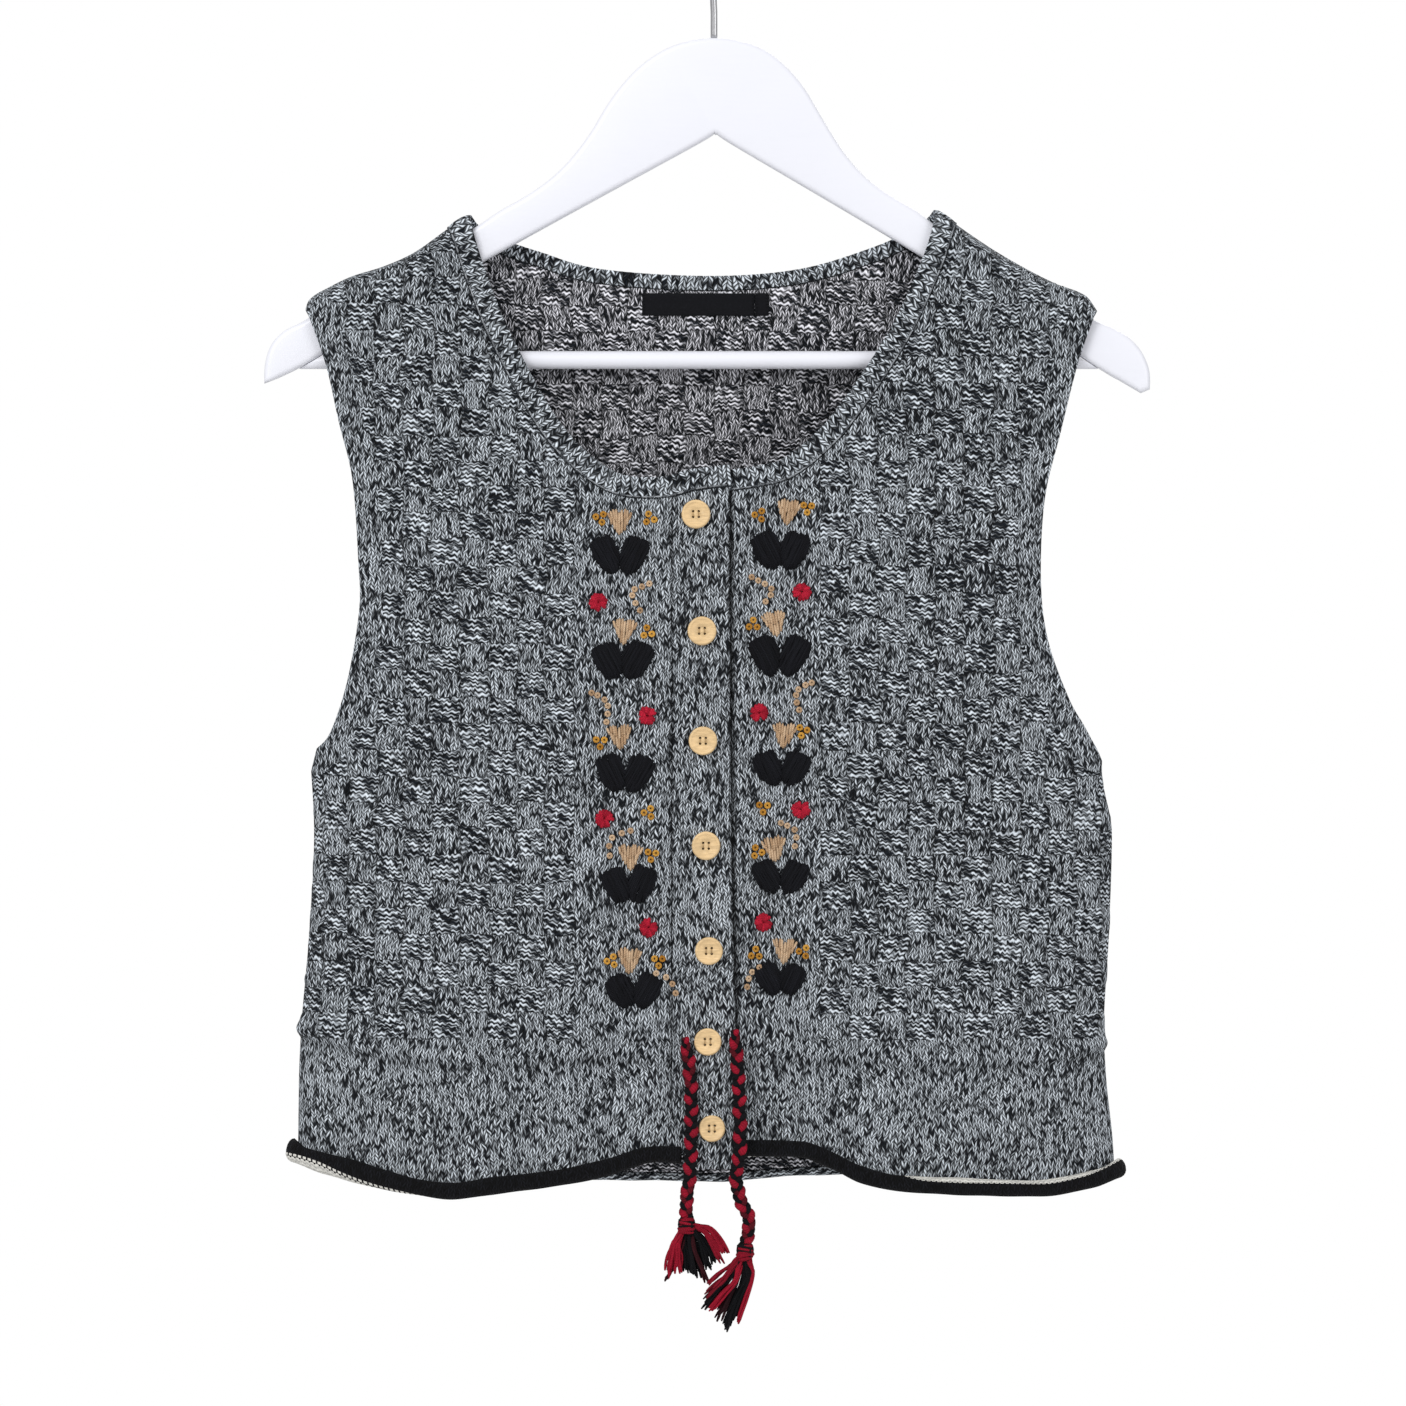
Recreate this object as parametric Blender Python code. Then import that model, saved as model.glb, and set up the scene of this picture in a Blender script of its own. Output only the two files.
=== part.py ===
"""Knitted button-front vest hanging on a wooden trouser hanger.

Sizes in this file are millimetres. They become metres where a vertex is made.
X runs to the viewer's right, the front of the vest faces -Y and Z is up.
The origin is the inside crown of the hanger's hook, where it hangs on a rail.
"left" and "right" are the viewer's, as seen from the front.
"""
import math
from functools import lru_cache

import bmesh
import bpy
from mathutils import Vector
from mathutils.geometry import delaunay_2d_cdt

MM = 0.001

# Cloth
WALL = 2.6
BAND_WALL = 3.0
GAP = 0.3
OVERLAP_LIFT = 1.8
NECKBAND_WIDTH = {"front": 11.0, "back": 7.7}
NECKBAND_CLEARANCE = 0.5
RIB_PITCH = 5.8
RIB_RELIEF = 0.3
BLOCK_WIDTH = 14.25
BLOCK_HEIGHT = 13.1
BLOCK_RELIEF = 1.0
CASING_HEIGHT = 8.0
CASING_RELIEF = 1.6
ARMHOLE_STRIP = 12.5
EMBROIDERY_STRIP = {"left": 69.5, "right": 53.0}
CREST_RADIUS = 9.6
CREST_ROUND = 2.6
HUG_LENGTH = 20.0
FREE_LENGTH = 150.0
SECTION_POWER = 2.4
SECTION_ROUND = 0.55
BACK_ARMHOLE_INSET = 2.0

# Hem roll
HEM_CLEARANCE = 0.5
ROLL_RADIUS = 4.25
ROLL_HOLE = 2.05
ROLL_SWEEP = 274.0
ROLL_STEPS = 6
ROLL_STEP = 13.0
ROLL_END = {"left": -15.9, "right": 14.0}

# Button bands
UNDER_BAND_EDGE = -14.0
BAND_BOTTOM = {"left": -636.0, "right": -633.5}

# Buttons
BUTTON_THICKNESS = 3.0
BUTTON_RIM = 1.4
BUTTON_DISH = 0.5
BUTTON_HOLE_RADIUS = 0.75
BUTTON_HOLE_SPREAD = 1.7
BUTTON_SIDES = 16
BUTTON_HOLE_SIDES = 5

# Label
LABEL_WALL = 0.8
LABEL_TOP = -199.2
LABEL_BOTTOM = -210.5

# Drawstring
CORD_DIAMETER = 6.2
CORD_STEP = 12.6
KNOT_RADIUS = 4.3
KNOT_LEVELS = (60.0, 25.0, -10.0, -45.0)
KNOT_DROP = 4.4
LOCK_SPACING = 0.22
LOCK_RADIUS = 0.95

# Hanger
WOOD_HALF = 6.0
WOOD_BEVEL = 3.0
BAR_RADIUS = 4.5
BAR_HEIGHT = -233.0
BAR_SIDES = 16
BAR_GAP = 0.7
HOOK_RADIUS = 17.0
WIRE_RADIUS = 1.7

# Outline of the vest at each height: half widths and half depths of its section
# (height, left, right, front, back)
SECTIONS = (
    (-655.0, 209.0, 201.0, 38.0, 33.0),
    (-625.0, 208.0, 199.5, 36.0, 32.0),
    (-590.0, 207.5, 196.0, 33.5, 30.5),
    (-568.0, 206.5, 195.0, 32.0, 30.0),
    (-520.0, 202.5, 197.5, 33.0, 30.0),
    (-470.0, 200.0, 199.0, 32.0, 29.0),
    (-438.0, 201.5, 194.0, 30.5, 28.0),
    (-380.0, 208.0, 199.0, 28.0, 25.0),
    (-300.0, 212.0, 203.0, 22.0, 20.0),
    (-210.0, 214.0, 204.0, 13.0, 13.0),
    (-150.0, 215.0, 205.0, 10.0, 10.0),
)

# Top of the shoulders, from the neck outwards (distance from the middle, height)
SHOULDER = {
    "left": (
        (122.0, -159.5), (133.0, -167.5), (151.0, -180.0), (166.0, -186.5),
        (180.5, -191.0), (192.0, -196.5), (201.5, -202.5), (203.5, -208.0),
    ),
    "right": (
        (110.5, -157.0), (120.5, -165.0), (144.5, -181.0), (170.0, -194.5),
        (185.0, -200.5), (191.0, -208.5),
    ),
}

# Edge of the armhole, from the shoulder down to the underarm (distance, height)
ARMHOLE = {
    "left": (
        (203.5, -208.0), (202.4, -213.0), (194.0, -235.0), (187.5, -263.5), (180.5, -293.0),
        (177.5, -333.0), (177.0, -358.0), (183.0, -393.5), (191.5, -419.0),
        (199.0, -428.5), (201.5, -438.5),
    ),
    "right": (
        (191.0, -208.5), (190.0, -213.5), (182.0, -234.0), (173.0, -269.5), (165.0, -303.0),
        (163.0, -343.0), (166.5, -373.0), (177.0, -402.0), (185.5, -417.0),
        (193.8, -433.0),
    ),
}

# Free edge of the neckband, from the front edge up to the shoulder (x, height)
NECK_FRONT = {
    "left": (
        (7.5, -286.0), (-12.0, -288.5), (-26.5, -292.0), (-46.0, -290.5),
        (-62.0, -280.5), (-76.0, -265.5), (-87.0, -248.0), (-97.0, -229.0),
        (-106.0, -210.0), (-115.0, -186.0), (-120.5, -168.0), (-122.0, -159.5),
    ),
    "right": (
        (-14.0, -289.5), (6.0, -288.0), (21.5, -286.0), (35.5, -282.0),
        (53.0, -267.5), (65.0, -252.5), (76.5, -236.0), (88.5, -216.5),
        (97.0, -199.0), (105.0, -180.0), (109.5, -165.0), (110.5, -157.0),
    ),
}

# Free edge of the neckband over the back, left shoulder to right (x, height)
NECK_BACK = (
    (-122.0, -159.5), (-117.0, -166.0), (-106.0, -172.0), (-87.0, -178.5),
    (-57.0, -187.0), (-2.5, -190.5), (43.0, -187.0), (80.0, -176.0),
    (97.0, -168.0), (106.0, -162.5), (110.5, -157.0),
)

# Middle of the rolled hem along the front and the back (x, height)
HEM = {
    "front": (
        (-215.0, -630.0), (-206.0, -631.8), (-195.0, -634.0), (-179.0, -638.0), (-147.0, -646.5),
        (-130.0, -648.0), (-112.0, -646.0), (-77.0, -641.0), (-55.5, -635.5),
        (-28.0, -628.5), (-12.0, -629.0), (15.0, -625.5), (42.0, -626.0),
        (58.5, -632.0), (73.0, -640.0), (92.0, -645.0), (121.0, -647.0),
        (159.0, -648.0), (188.0, -643.5), (198.5, -639.5), (205.0, -637.0),
    ),
    "back": (
        (-215.0, -630.0), (-206.0, -631.8), (-150.0, -641.0), (-80.0, -640.0), (-28.0, -641.0),
        (0.0, -641.5), (40.0, -638.5), (90.0, -637.0), (150.0, -642.0),
        (198.5, -639.5), (205.0, -637.0),
    ),
}

# Soft folds: how far the cloth stands out or in at the hem (x, front, back)
HEM_FOLDS = (
    (-215.0, 0.0, 0.0),
    (-140.0, 5.0, 3.0),
    (-80.0, 1.5, -2.5),
    (-30.0, -3.0, 2.0),
    (0.0, -1.0, 3.0),
    (35.0, -3.5, 0.0),
    (100.0, 4.0, -3.0),
    (160.0, 4.5, 3.0),
    (205.0, 0.0, 0.0),
)
FOLD_TOP = -440.0
FOLD_BOTTOM = -640.0
INNER_STEP = 34.0

# Waist casing, the welt that the drawstring runs in (x, height)
CASING = (
    (-210.0, -566.0), (-170.0, -576.0), (-145.0, -579.0), (-57.0, -578.5),
    (0.0, -579.5), (73.0, -579.5), (143.0, -578.0), (200.0, -575.0),
)
BASKET_BOTTOM = -572.0

# Edge of the top band down the front (height, x)
OVERLAP_EDGE = (
    (-640.0, 10.5), (-568.0, 10.5), (-503.0, 9.0), (-400.0, 8.0), (-280.0, 7.5),
)

# Heights of the points along the seams of the bands
BAND_ROWS = tuple(-306.0 - 19.6 * k for k in range(16)) + (-610.0, -616.0, -622.0, -629.0)

# Seam between each front and its band (height, x)
BAND_SEAM = {
    "left": (
        (-640.0, -15.5), (-622.0, -15.5), (-604.0, -21.0), (-280.0, -21.0),
    ),
    "right": (
        (-640.0, 6.5), (-280.0, 6.5),
    ),
}

# Buttons (x, height, radius, distance from the curved band under them)
BUTTONS = (
    (-9.0, -311.0, 7.2, 0.19),
    (-6.0, -369.0, 7.2, 0.27),
    (-5.5, -423.5, 7.1, 0.29),
    (-4.0, -475.5, 7.1, 0.17),
    (-2.5, -527.5, 6.9, -0.08),
    (-3.0, -573.0, 6.8, 0.02),
    (-1.0, -616.0, 6.6, -0.43),
)

# Labels on the inside of the back (name, left edge, right edge)
LABELS = (
    ("label", -36.0, 20.3),
    ("size_tab", 20.6, 27.5),
)

# Drawstring ends (x, height, distance of the centreline from the cloth's middle)
CORD_ROUTE = {
    "left": (
        (-14.6, -571.0, 6.7), (-13.4, -578.0, 6.7), (-11.9, -588.0, 6.8),
        (-11.2, -607.0, 6.8), (-11.4, -620.0, 6.9), (-11.6, -630.0, 7.2),
        (-12.2, -640.0, 8.0), (-13.6, -650.0, 8.0), (-13.6, -659.6, 7.5),
    ),
    "right": (
        (10.2, -567.0, 6.8), (11.0, -577.0, 6.9), (12.0, -590.0, 7.0),
        (12.6, -604.0, 8.2), (12.9, -616.0, 9.8), (12.7, -628.0, 10.4),
        (10.8, -638.5, 10.2), (12.9, -650.0, 9.2), (17.2, -660.0, 8.4),
        (16.8, -668.0, 8.0), (15.4, -672.4, 8.0),
    ),
}

# Locks of the tassels: where each tip hangs below its knot
# (sideways, forwards, down)
TASSEL_TIPS = {
    "left": (
        (-9.5, 2.0, -26.0), (-8.0, -3.0, -24.0), (-6.0, 4.0, -22.0), (-2.5, -3.5, -27.0),
        (0.5, 3.0, -29.0), (4.0, -2.0, -29.5), (7.0, 2.5, -29.0), (10.0, -2.5, -27.0),
        (13.0, 1.5, -25.0), (18.5, 0.0, -20.0),
    ),
    "right": (
        (-19.5, 2.0, -25.0), (-17.0, -2.5, -29.0), (-14.0, 3.0, -33.0), (-12.0, -3.0, -36.5),
        (-9.5, 2.5, -38.0), (-7.0, -1.5, -38.5), (-5.0, 3.0, -35.0), (-2.5, -2.0, -34.0),
        (0.5, 1.5, -30.0), (3.0, -1.0, -24.0),
    ),
}

# Outline of the wooden hanger, round from the left tip over the head (x, height)
HANGER_TOP = (
    (-224.8, -244.8), (-224.9, -238.1), (-223.7, -231.0), (-221.2, -225.0),
    (-217.2, -220.3), (-212.9, -217.2), (-205.1, -213.4), (-192.0, -204.6),
    (-180.5, -197.7), (-166.0, -192.5), (-151.0, -186.8), (-133.0, -175.0),
    (-118.5, -166.0), (-106.5, -158.0), (-97.5, -153.0), (-88.5, -147.3),
    (-79.5, -140.3), (-70.5, -131.0), (-61.5, -118.8), (-54.8, -107.5),
    (-48.0, -97.8), (-39.0, -87.8), (-30.0, -80.8), (-21.0, -76.0),
    (-10.5, -73.0), (0.0, -72.0), (10.5, -73.0), (21.0, -76.0),
    (30.0, -81.0), (39.0, -89.3), (46.5, -99.0), (55.5, -114.3),
    (64.5, -128.5), (73.5, -139.2), (82.5, -147.0), (91.5, -152.8),
    (100.5, -158.0), (109.0, -164.3), (120.5, -172.0), (133.0, -180.7),
    (144.5, -188.0), (170.0, -201.3), (182.0, -208.2), (191.3, -213.6),
    (199.5, -217.0), (206.7, -221.2), (211.0, -225.2), (214.4, -229.8),
    (217.3, -236.7), (218.1, -242.5), (217.9, -247.7),
)
HANGER_UNDER = (
    (213.4, -249.6), (202.4, -243.2), (188.6, -235.0), (104.5, -182.0),
    (12.0, -127.2), (0.5, -120.5), (-11.0, -126.8), (-115.0, -183.9),
    (-196.8, -231.2), (-208.3, -237.6), (-218.0, -242.2),
)

# Hook of round wire, from the wood up and round its crook (x, height)
HOOK_STEM = ((0.0, -71.7), (0.0, -60.0), (0.0, -50.0), (3.5, -43.0), (9.5, -36.5))
HOOK_ARC = (-38.0, 205.0)


def read(table, key, column=1):
    """Value of a column of a table at a key, on a smooth curve that keeps the rows' peaks."""
    rows = table if table[0][0] < table[-1][0] else table[::-1]
    if key <= rows[0][0]:
        return rows[0][column]
    if key >= rows[-1][0]:
        return rows[-1][column]
    last = len(rows) - 1
    index = max(i for i in range(last) if rows[i][0] <= key)
    slopes = [
        (rows[i + 1][column] - rows[i][column]) / (rows[i + 1][0] - rows[i][0])
        for i in range(last)
    ]

    def tangent(i):
        if i == 0:
            return slopes[0]
        if i == last:
            return slopes[-1]
        before = slopes[i - 1]
        after = slopes[i]
        return 0.0 if before * after <= 0.0 else 2.0 * before * after / (before + after)

    span = rows[index + 1][0] - rows[index][0]
    t = (key - rows[index][0]) / span
    start = rows[index][column]
    end = rows[index + 1][column]
    return (
        start * (1.0 + 2.0 * t) * (1.0 - t) ** 2
        + tangent(index) * span * t * (1.0 - t) ** 2
        + end * t * t * (3.0 - 2.0 * t)
        + tangent(index + 1) * span * t * t * (t - 1.0)
    )


def smoothstep(value, low, high):
    """0 below low, 1 above high and a soft rise between."""
    t = min(max((value - low) / (high - low), 0.0), 1.0)
    return t * t * (3.0 - 2.0 * t)


def spline(points, step):
    """Points at even steps on a smooth curve through the given points, in any dimension."""
    count = len(points)
    dense = []
    for i in range(count - 1):
        before = points[max(i - 1, 0)]
        start = points[i]
        end = points[i + 1]
        after = points[min(i + 2, count - 1)]
        for k in range(16):
            t = k / 16.0
            dense.append(tuple(
                0.5 * (
                    2.0 * b + (c - a) * t
                    + (2.0 * a - 5.0 * b + 4.0 * c - d) * t * t
                    + (3.0 * b - a - 3.0 * c + d) * t * t * t
                )
                for a, b, c, d in zip(before, start, end, after)
            ))
    dense.append(tuple(points[-1]))
    return even(dense, step)


def even(points, step):
    """A line of points read again at even steps of length."""
    lengths = [0.0]
    for a, b in zip(points, points[1:]):
        lengths.append(lengths[-1] + math.dist(a, b))
    pieces = max(1, round(lengths[-1] / step))
    result = []
    index = 0
    for k in range(pieces + 1):
        goal = lengths[-1] * k / pieces
        while index < len(points) - 2 and lengths[index + 1] < goal:
            index += 1
        span = lengths[index + 1] - lengths[index]
        t = 0.0 if span == 0.0 else (goal - lengths[index]) / span
        result.append(tuple(a + (b - a) * t for a, b in zip(points[index], points[index + 1])))
    return result


def side_of(x):
    return "left" if x < 0.0 else "right"


def half_width(z, side):
    """Half width of the section at the middle of the cloth's wall."""
    return read(SECTIONS, z, 1 if side == "left" else 2) - WALL / 2.0


def crest(x):
    """Height of the cloth's middle over the hanger."""
    return read(SHOULDER[side_of(x)], abs(x)) - WALL / 2.0


def plain_depth(x, z, face):
    """Half depth of the section before the shoulder draws it in."""
    share = min(abs(x) / half_width(z, side_of(x)), 1.0)
    deep = read(SECTIONS, z, 3 if face == "front" else 4)
    return deep * (1.0 - share ** SECTION_POWER) ** SECTION_ROUND


def depth(x, z, face):
    """Distance of the cloth's middle from the hanger's plane."""
    drop = max(crest(x) - z, 0.0)
    reach = min(drop / CREST_RADIUS, 1.0)
    near = CREST_RADIUS * (1.0 - (1.0 - reach) ** CREST_ROUND) ** (1.0 / CREST_ROUND)
    share = smoothstep(drop, HUG_LENGTH, FREE_LENGTH)
    fold = read(HEM_FOLDS, x, 1 if face == "front" else 2)
    edge = min(abs(x) / half_width(z, side_of(x)), 1.0)
    fold *= smoothstep(-z, -FOLD_TOP, -FOLD_BOTTOM) * (1.0 - edge ** 6)
    return near * (1.0 - share) + (plain_depth(x, z, face) + fold) * share


@lru_cache(maxsize=None)
def girth_table(z, face, side):
    """Lengths round the plain section from the middle to the side: (length, x)."""
    rows = [(0.0, 0.0)]
    wide = half_width(z, side)
    y_before = plain_depth(0.0, z, face)
    for k in range(1, 41):
        x = wide * math.sin(0.5 * math.pi * k / 40.0)
        y = plain_depth(x if side == "right" else -x, z, face)
        rows.append((rows[-1][0] + math.hypot(x - rows[-1][1], y - y_before), x))
        y_before = y
    return tuple(rows)


def across(x, z, face):
    """Length round the section from the middle to x, negative on the left."""
    rows = girth_table(round(z, 2), face, side_of(x))
    goal = abs(x)
    for a, b in zip(rows, rows[1:]):
        if goal <= b[1] or b is rows[-1]:
            t = min((goal - a[1]) / (b[1] - a[1]), 1.0)
            return math.copysign(a[0] + (b[0] - a[0]) * t, x)
    return 0.0


def x_across(c, z, face):
    """x at a length round the section."""
    rows = girth_table(round(z, 2), face, side_of(c))
    goal = abs(c)
    for a, b in zip(rows, rows[1:]):
        if goal <= b[0] or b is rows[-1]:
            t = min((goal - a[0]) / (b[0] - a[0]), 1.0)
            return math.copysign(a[1] + (b[1] - a[1]) * t, c)
    return 0.0


def side_length(z, face, side):
    """Length round the section from the middle to the side seam."""
    return girth_table(round(z, 2), face, side)[-1][0]


def middle(c, z, face):
    """Point of the cloth's middle at a length round the section and a height."""
    x = x_across(c, z, face)
    y = depth(x, z, face)
    return Vector((x, -y if face == "front" else y, z))


def normal(c, z, face):
    """Outward direction of the cloth."""
    far = side_length(z, face, side_of(c))
    low = max(c - 0.6, -far)
    high = min(c + 0.6, far)
    along = middle(high, z, face) - middle(low, z, face)
    top = min(z + 0.6, crest(x_across(c, z, face)))
    up = middle(c, top, face) - middle(c, z - 0.6, face)
    out = along.cross(up)
    if face == "back":
        out = -out
    return out.normalized()


def lift(c, piece):
    """How far a front stands out or in where the two fronts lap."""
    if piece == "left":
        return OVERLAP_LIFT * smoothstep(c, -52.0, -20.0)
    if piece == "right":
        return -OVERLAP_LIFT * (1.0 - smoothstep(c, 12.0, 46.0))
    return 0.0


def place(spot, face, piece, out):
    """Point of the cloth at a distance out from its middle. A spot is (length, height, kind)."""
    c, z, kind = spot
    gap = GAP / 2.0 if face == "back" else -GAP / 2.0
    if kind == "side":
        x = math.copysign(half_width(z, side_of(c)), c)
        return Vector((x + math.copysign(out, c), gap, z))
    if kind == "crest":
        x = x_across(c, z, face)
        slope = crest(x + 0.5) - crest(x - 0.5)
        up = Vector((-slope, 0.0, 1.0)).normalized()
        return Vector((x, gap, crest(x))) + up * out
    return middle(c, z, face) + normal(c, z, face) * (out + lift(c, piece))


def new_material(name, colour, roughness, metallic=0.0):
    material = bpy.data.materials.new(name)
    material.use_nodes = True
    shader = material.node_tree.nodes["Principled BSDF"]
    shader.inputs["Base Color"].default_value = (*colour, 1.0)
    shader.inputs["Roughness"].default_value = roughness
    shader.inputs["Metallic"].default_value = metallic
    return material


def new_object(name, mesh, material, smooth=True):
    """Name a mesh of vertices in metres, face it outwards and add it to the scene."""
    bmesh.ops.recalc_face_normals(mesh, faces=mesh.faces)
    data = bpy.data.meshes.new(name)
    mesh.to_mesh(data)
    mesh.free()
    data.materials.append(material)
    for polygon in data.polygons:
        polygon.use_smooth = smooth
    obj = bpy.data.objects.new(name, data)
    bpy.context.scene.collection.objects.link(obj)


def inside(point, outline):
    """Whether a point is within an outline."""
    x, y = point
    result = False
    for (x0, y0), (x1, y1) in zip(outline, outline[1:] + outline[:1]):
        if (y0 > y) != (y1 > y) and x < (x1 - x0) * (y - y0) / (y1 - y0) + x0:
            result = not result
    return result


def clearance(point, outline):
    """Shortest distance from a point to an outline."""
    best = math.inf
    for (x0, y0), (x1, y1) in zip(outline, outline[1:] + outline[:1]):
        dx = x1 - x0
        dy = y1 - y0
        t = ((point[0] - x0) * dx + (point[1] - y0) * dy) / (dx * dx + dy * dy)
        t = min(max(t, 0.0), 1.0)
        best = min(best, math.hypot(point[0] - x0 - t * dx, point[1] - y0 - t * dy))
    return best


def triangles(outline, points):
    """Triangles over an outline and the points within it."""
    flat = outline + points
    loop = list(range(len(outline)))
    result = delaunay_2d_cdt([Vector(p) for p in flat], [], [loop], 1, 1e-5)
    origin = [ids[0] for ids in result[3]]
    return [[origin[i] for i in face] for face in result[2]]


def wall(name, outline, outer, inner, face, piece, thick, material, relief=None, base=0.0):
    """Closed wall of cloth. The outer points carry a relief, and the inside is plain."""
    flat = [(c, z) for c, z, _ in outline]
    mesh = bmesh.new()
    rims = []
    for points, out in ((outer, thick / 2.0), (inner, -thick / 2.0)):
        points = [p for p in points if inside(p, flat) and clearance(p, flat) > 2.6]
        spots = outline + [(c, z, "") for c, z in points]
        verts = []
        for order, spot in enumerate(spots):
            raised = relief(spot) if relief and out > 0.0 and order >= len(outline) else 0.0
            verts.append(mesh.verts.new(place(spot, face, piece, base + out + raised) * MM))
        for corners in triangles(flat, points):
            mesh.faces.new([verts[i] for i in corners])
        rims.append(verts[:len(outline)])
    count = len(outline)
    for i in range(count):
        j = (i + 1) % count
        mesh.faces.new((rims[0][i], rims[0][j], rims[1][j], rims[1][i]))
    new_object(name, mesh, material, smooth=False)


def block_relief(spot, face):
    """Height of the basket weave at a point: blocks stand out and lie back by turns."""
    c, z = spot[0], spot[1]
    if z < BASKET_BOTTOM:
        return 0.0
    start = -EMBROIDERY_STRIP["left"] if c < 0.0 else EMBROIDERY_STRIP["right"]
    if face == "back":
        start = 0.0
    column = (c - start) / BLOCK_WIDTH
    row = (z - BASKET_BOTTOM) / BLOCK_HEIGHT
    if abs(column - math.floor(column) - 0.5) > 0.1 or abs(row - math.floor(row) - 0.5) > 0.1:
        return 0.0
    sign = 1.0 if (math.floor(column) + math.floor(row)) % 2 == 0 else -1.0
    return BLOCK_RELIEF * sign


def panel_relief(face, armholes):
    """Relief of a panel: the basket weave, plain along the armholes, and the casing's welt."""
    def relief(spot):
        welt = read(CASING, x_across(spot[0], -578.0, face))
        if abs(spot[1] - welt) < 0.5:
            lapped = face == "front" and -24.0 < spot[0] < 17.0
            return 0.0 if lapped else CASING_RELIEF
        if face == "front":
            low = -EMBROIDERY_STRIP["left"]
            if low < spot[0] < EMBROIDERY_STRIP["right"]:
                return 0.0
        near = min(clearance(spot[:2], line) for line in armholes)
        return 0.0 if near < ARMHOLE_STRIP else block_relief(spot, face)
    return relief


def crest_line(face, side):
    """Spots along the shoulder seam, from the neck outwards."""
    rows = SHOULDER[side]
    sign = -1.0 if side == "left" else 1.0
    line = even([(x, crest(sign * x)) for x, _ in rows[1:]], 8.0)
    return [(across(sign * x, crest(sign * x), face), crest(sign * x), "crest") for x, _ in line]


def armhole_line(face, side):
    """Spots down the armhole, from the shoulder to the underarm."""
    sign = -1.0 if side == "left" else 1.0
    curve = spline(ARMHOLE[side], 2.0)
    inset = BACK_ARMHOLE_INSET if face == "back" else 0.0
    spots = []
    length = len(curve) - 1
    last = None
    for k, (x, z) in enumerate(curve):
        taper = min(1.0, 6.0 * k / length, 6.0 * (length - k) / length)
        x = sign * (x - inset * taper)
        z = min(z, crest(x))
        far = half_width(z, side)
        x = math.copysign(min(abs(x), far), x)
        point = Vector((x, depth(x, z, face), z))
        step = 4.5 if z > crest(x) - 16.0 or k > length - 12 else 9.5
        flat = z < -400.0 and point.y < 4.0
        if 0 < k < length and not flat and (point - last).length >= step:
            spots.append((across(x, z, face), z, ""))
            last = point
        elif k == 0:
            last = point
    return spots


def side_line(face, side):
    """Spots down the side seam, from the underarm to the hem."""
    sign = -1.0 if side == "left" else 1.0
    top = ARMHOLE[side][-1][1]
    bottom = read(HEM["front"], sign * read(SECTIONS, -635.0, 1 if side == "left" else 2))
    count = round((top - bottom) / 11.0)
    spots = []
    for k in range(count + 1):
        z = top + (bottom + HEM_CLEARANCE - top) * k / count
        spots.append((sign * side_length(z, face, side), z, "side"))
    return spots


def hem_height(c, face):
    """Height of the middle of the hem roll."""
    z = -635.0
    for _ in range(4):
        z = read(HEM[face], x_across(c, z, face))
    return z


def hem_line(start, end):
    """Lengths round the hem at even steps from one end to the other."""
    count = max(2, round(abs(end - start) / ROLL_STEP))
    return [start + (end - start) * k / count for k in range(count + 1)]


def neck_curves(face, side):
    """Edge and seam of the neckband in the front view, as pairs from start to shoulder."""
    rows = NECK_FRONT[side] if face == "front" else NECK_BACK
    edge = spline(rows, 1.5)
    pairs = []
    last = len(edge) - 1
    for k, (x, z) in enumerate(edge):
        before = edge[max(k - 1, 0)]
        after = edge[min(k + 1, last)]
        dx = after[0] - before[0]
        dz = after[1] - before[1]
        size = math.hypot(dx, dz)
        away = (dz / size, -dx / size)
        if away[1] > 0.0 and abs(x) < 100.0:
            away = (-away[0], -away[1])
        if abs(x) >= 100.0 and away[0] * x < 0.0:
            away = (-away[0], -away[1])
        pairs.append(((x, z), away))
    return pairs


def neck_pairs(face, side=None):
    """Edge and seam points of the neckband that meet on the shoulders' crest."""
    pairs = neck_curves(face, side)
    wide = NECKBAND_WIDTH[face]
    last = len(pairs) - 1
    result = []
    for (x, z), away in pairs:
        result.append(((x, z), (x + away[0] * wide, z + away[1] * wide)))
    ends = []
    if face == "front" or side is None:
        ends.append((last, -1.0 if pairs[last][0][0] < 0.0 else 1.0))
    if face == "back":
        ends.append((0, -1.0))
    reach = 10
    for end, sign in ends:
        rows = SHOULDER[side_of(sign)]
        goal = (sign * rows[1][0], rows[1][1])
        for k in range(last + 1):
            steps = abs(end - k)
            if steps > reach:
                continue
            share = (1.0 - steps / reach) ** 2
            edge, seam = result[k]
            direct = pairs[end][0]
            offset = (goal[0] - direct[0], goal[1] - direct[1])
            seam_goal = (edge[0] + offset[0], edge[1] + offset[1])
            seam = tuple(a + (b - a) * share for a, b in zip(seam, seam_goal))
            result[k] = (edge, seam)
    return result


def on_cloth(point, face, piece):
    """Point of the cloth's middle under a point of the front view."""
    x, z = point
    z = min(z, crest(x))
    c = across(x, z, face)
    spot = middle(c, z, face)
    return spot + normal(c, z, face) * lift(c, piece)


def neck_line(face, piece, step, top_step):
    """Spots of a panel along the neckband's seam, from the middle to the shoulder."""
    spots = []
    last = None
    pairs = neck_pairs(face, piece if face == "front" else None)
    for _, (x, z) in pairs:
        drop = crest(x) - z
        if drop < 0.4:
            continue
        point = on_cloth((x, z), face, piece)
        needed = top_step if drop < 16.0 else step
        if last is None or (point - last).length >= needed:
            spots.append((across(x, z, face), z, "", x))
            last = point
    return spots


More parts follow.
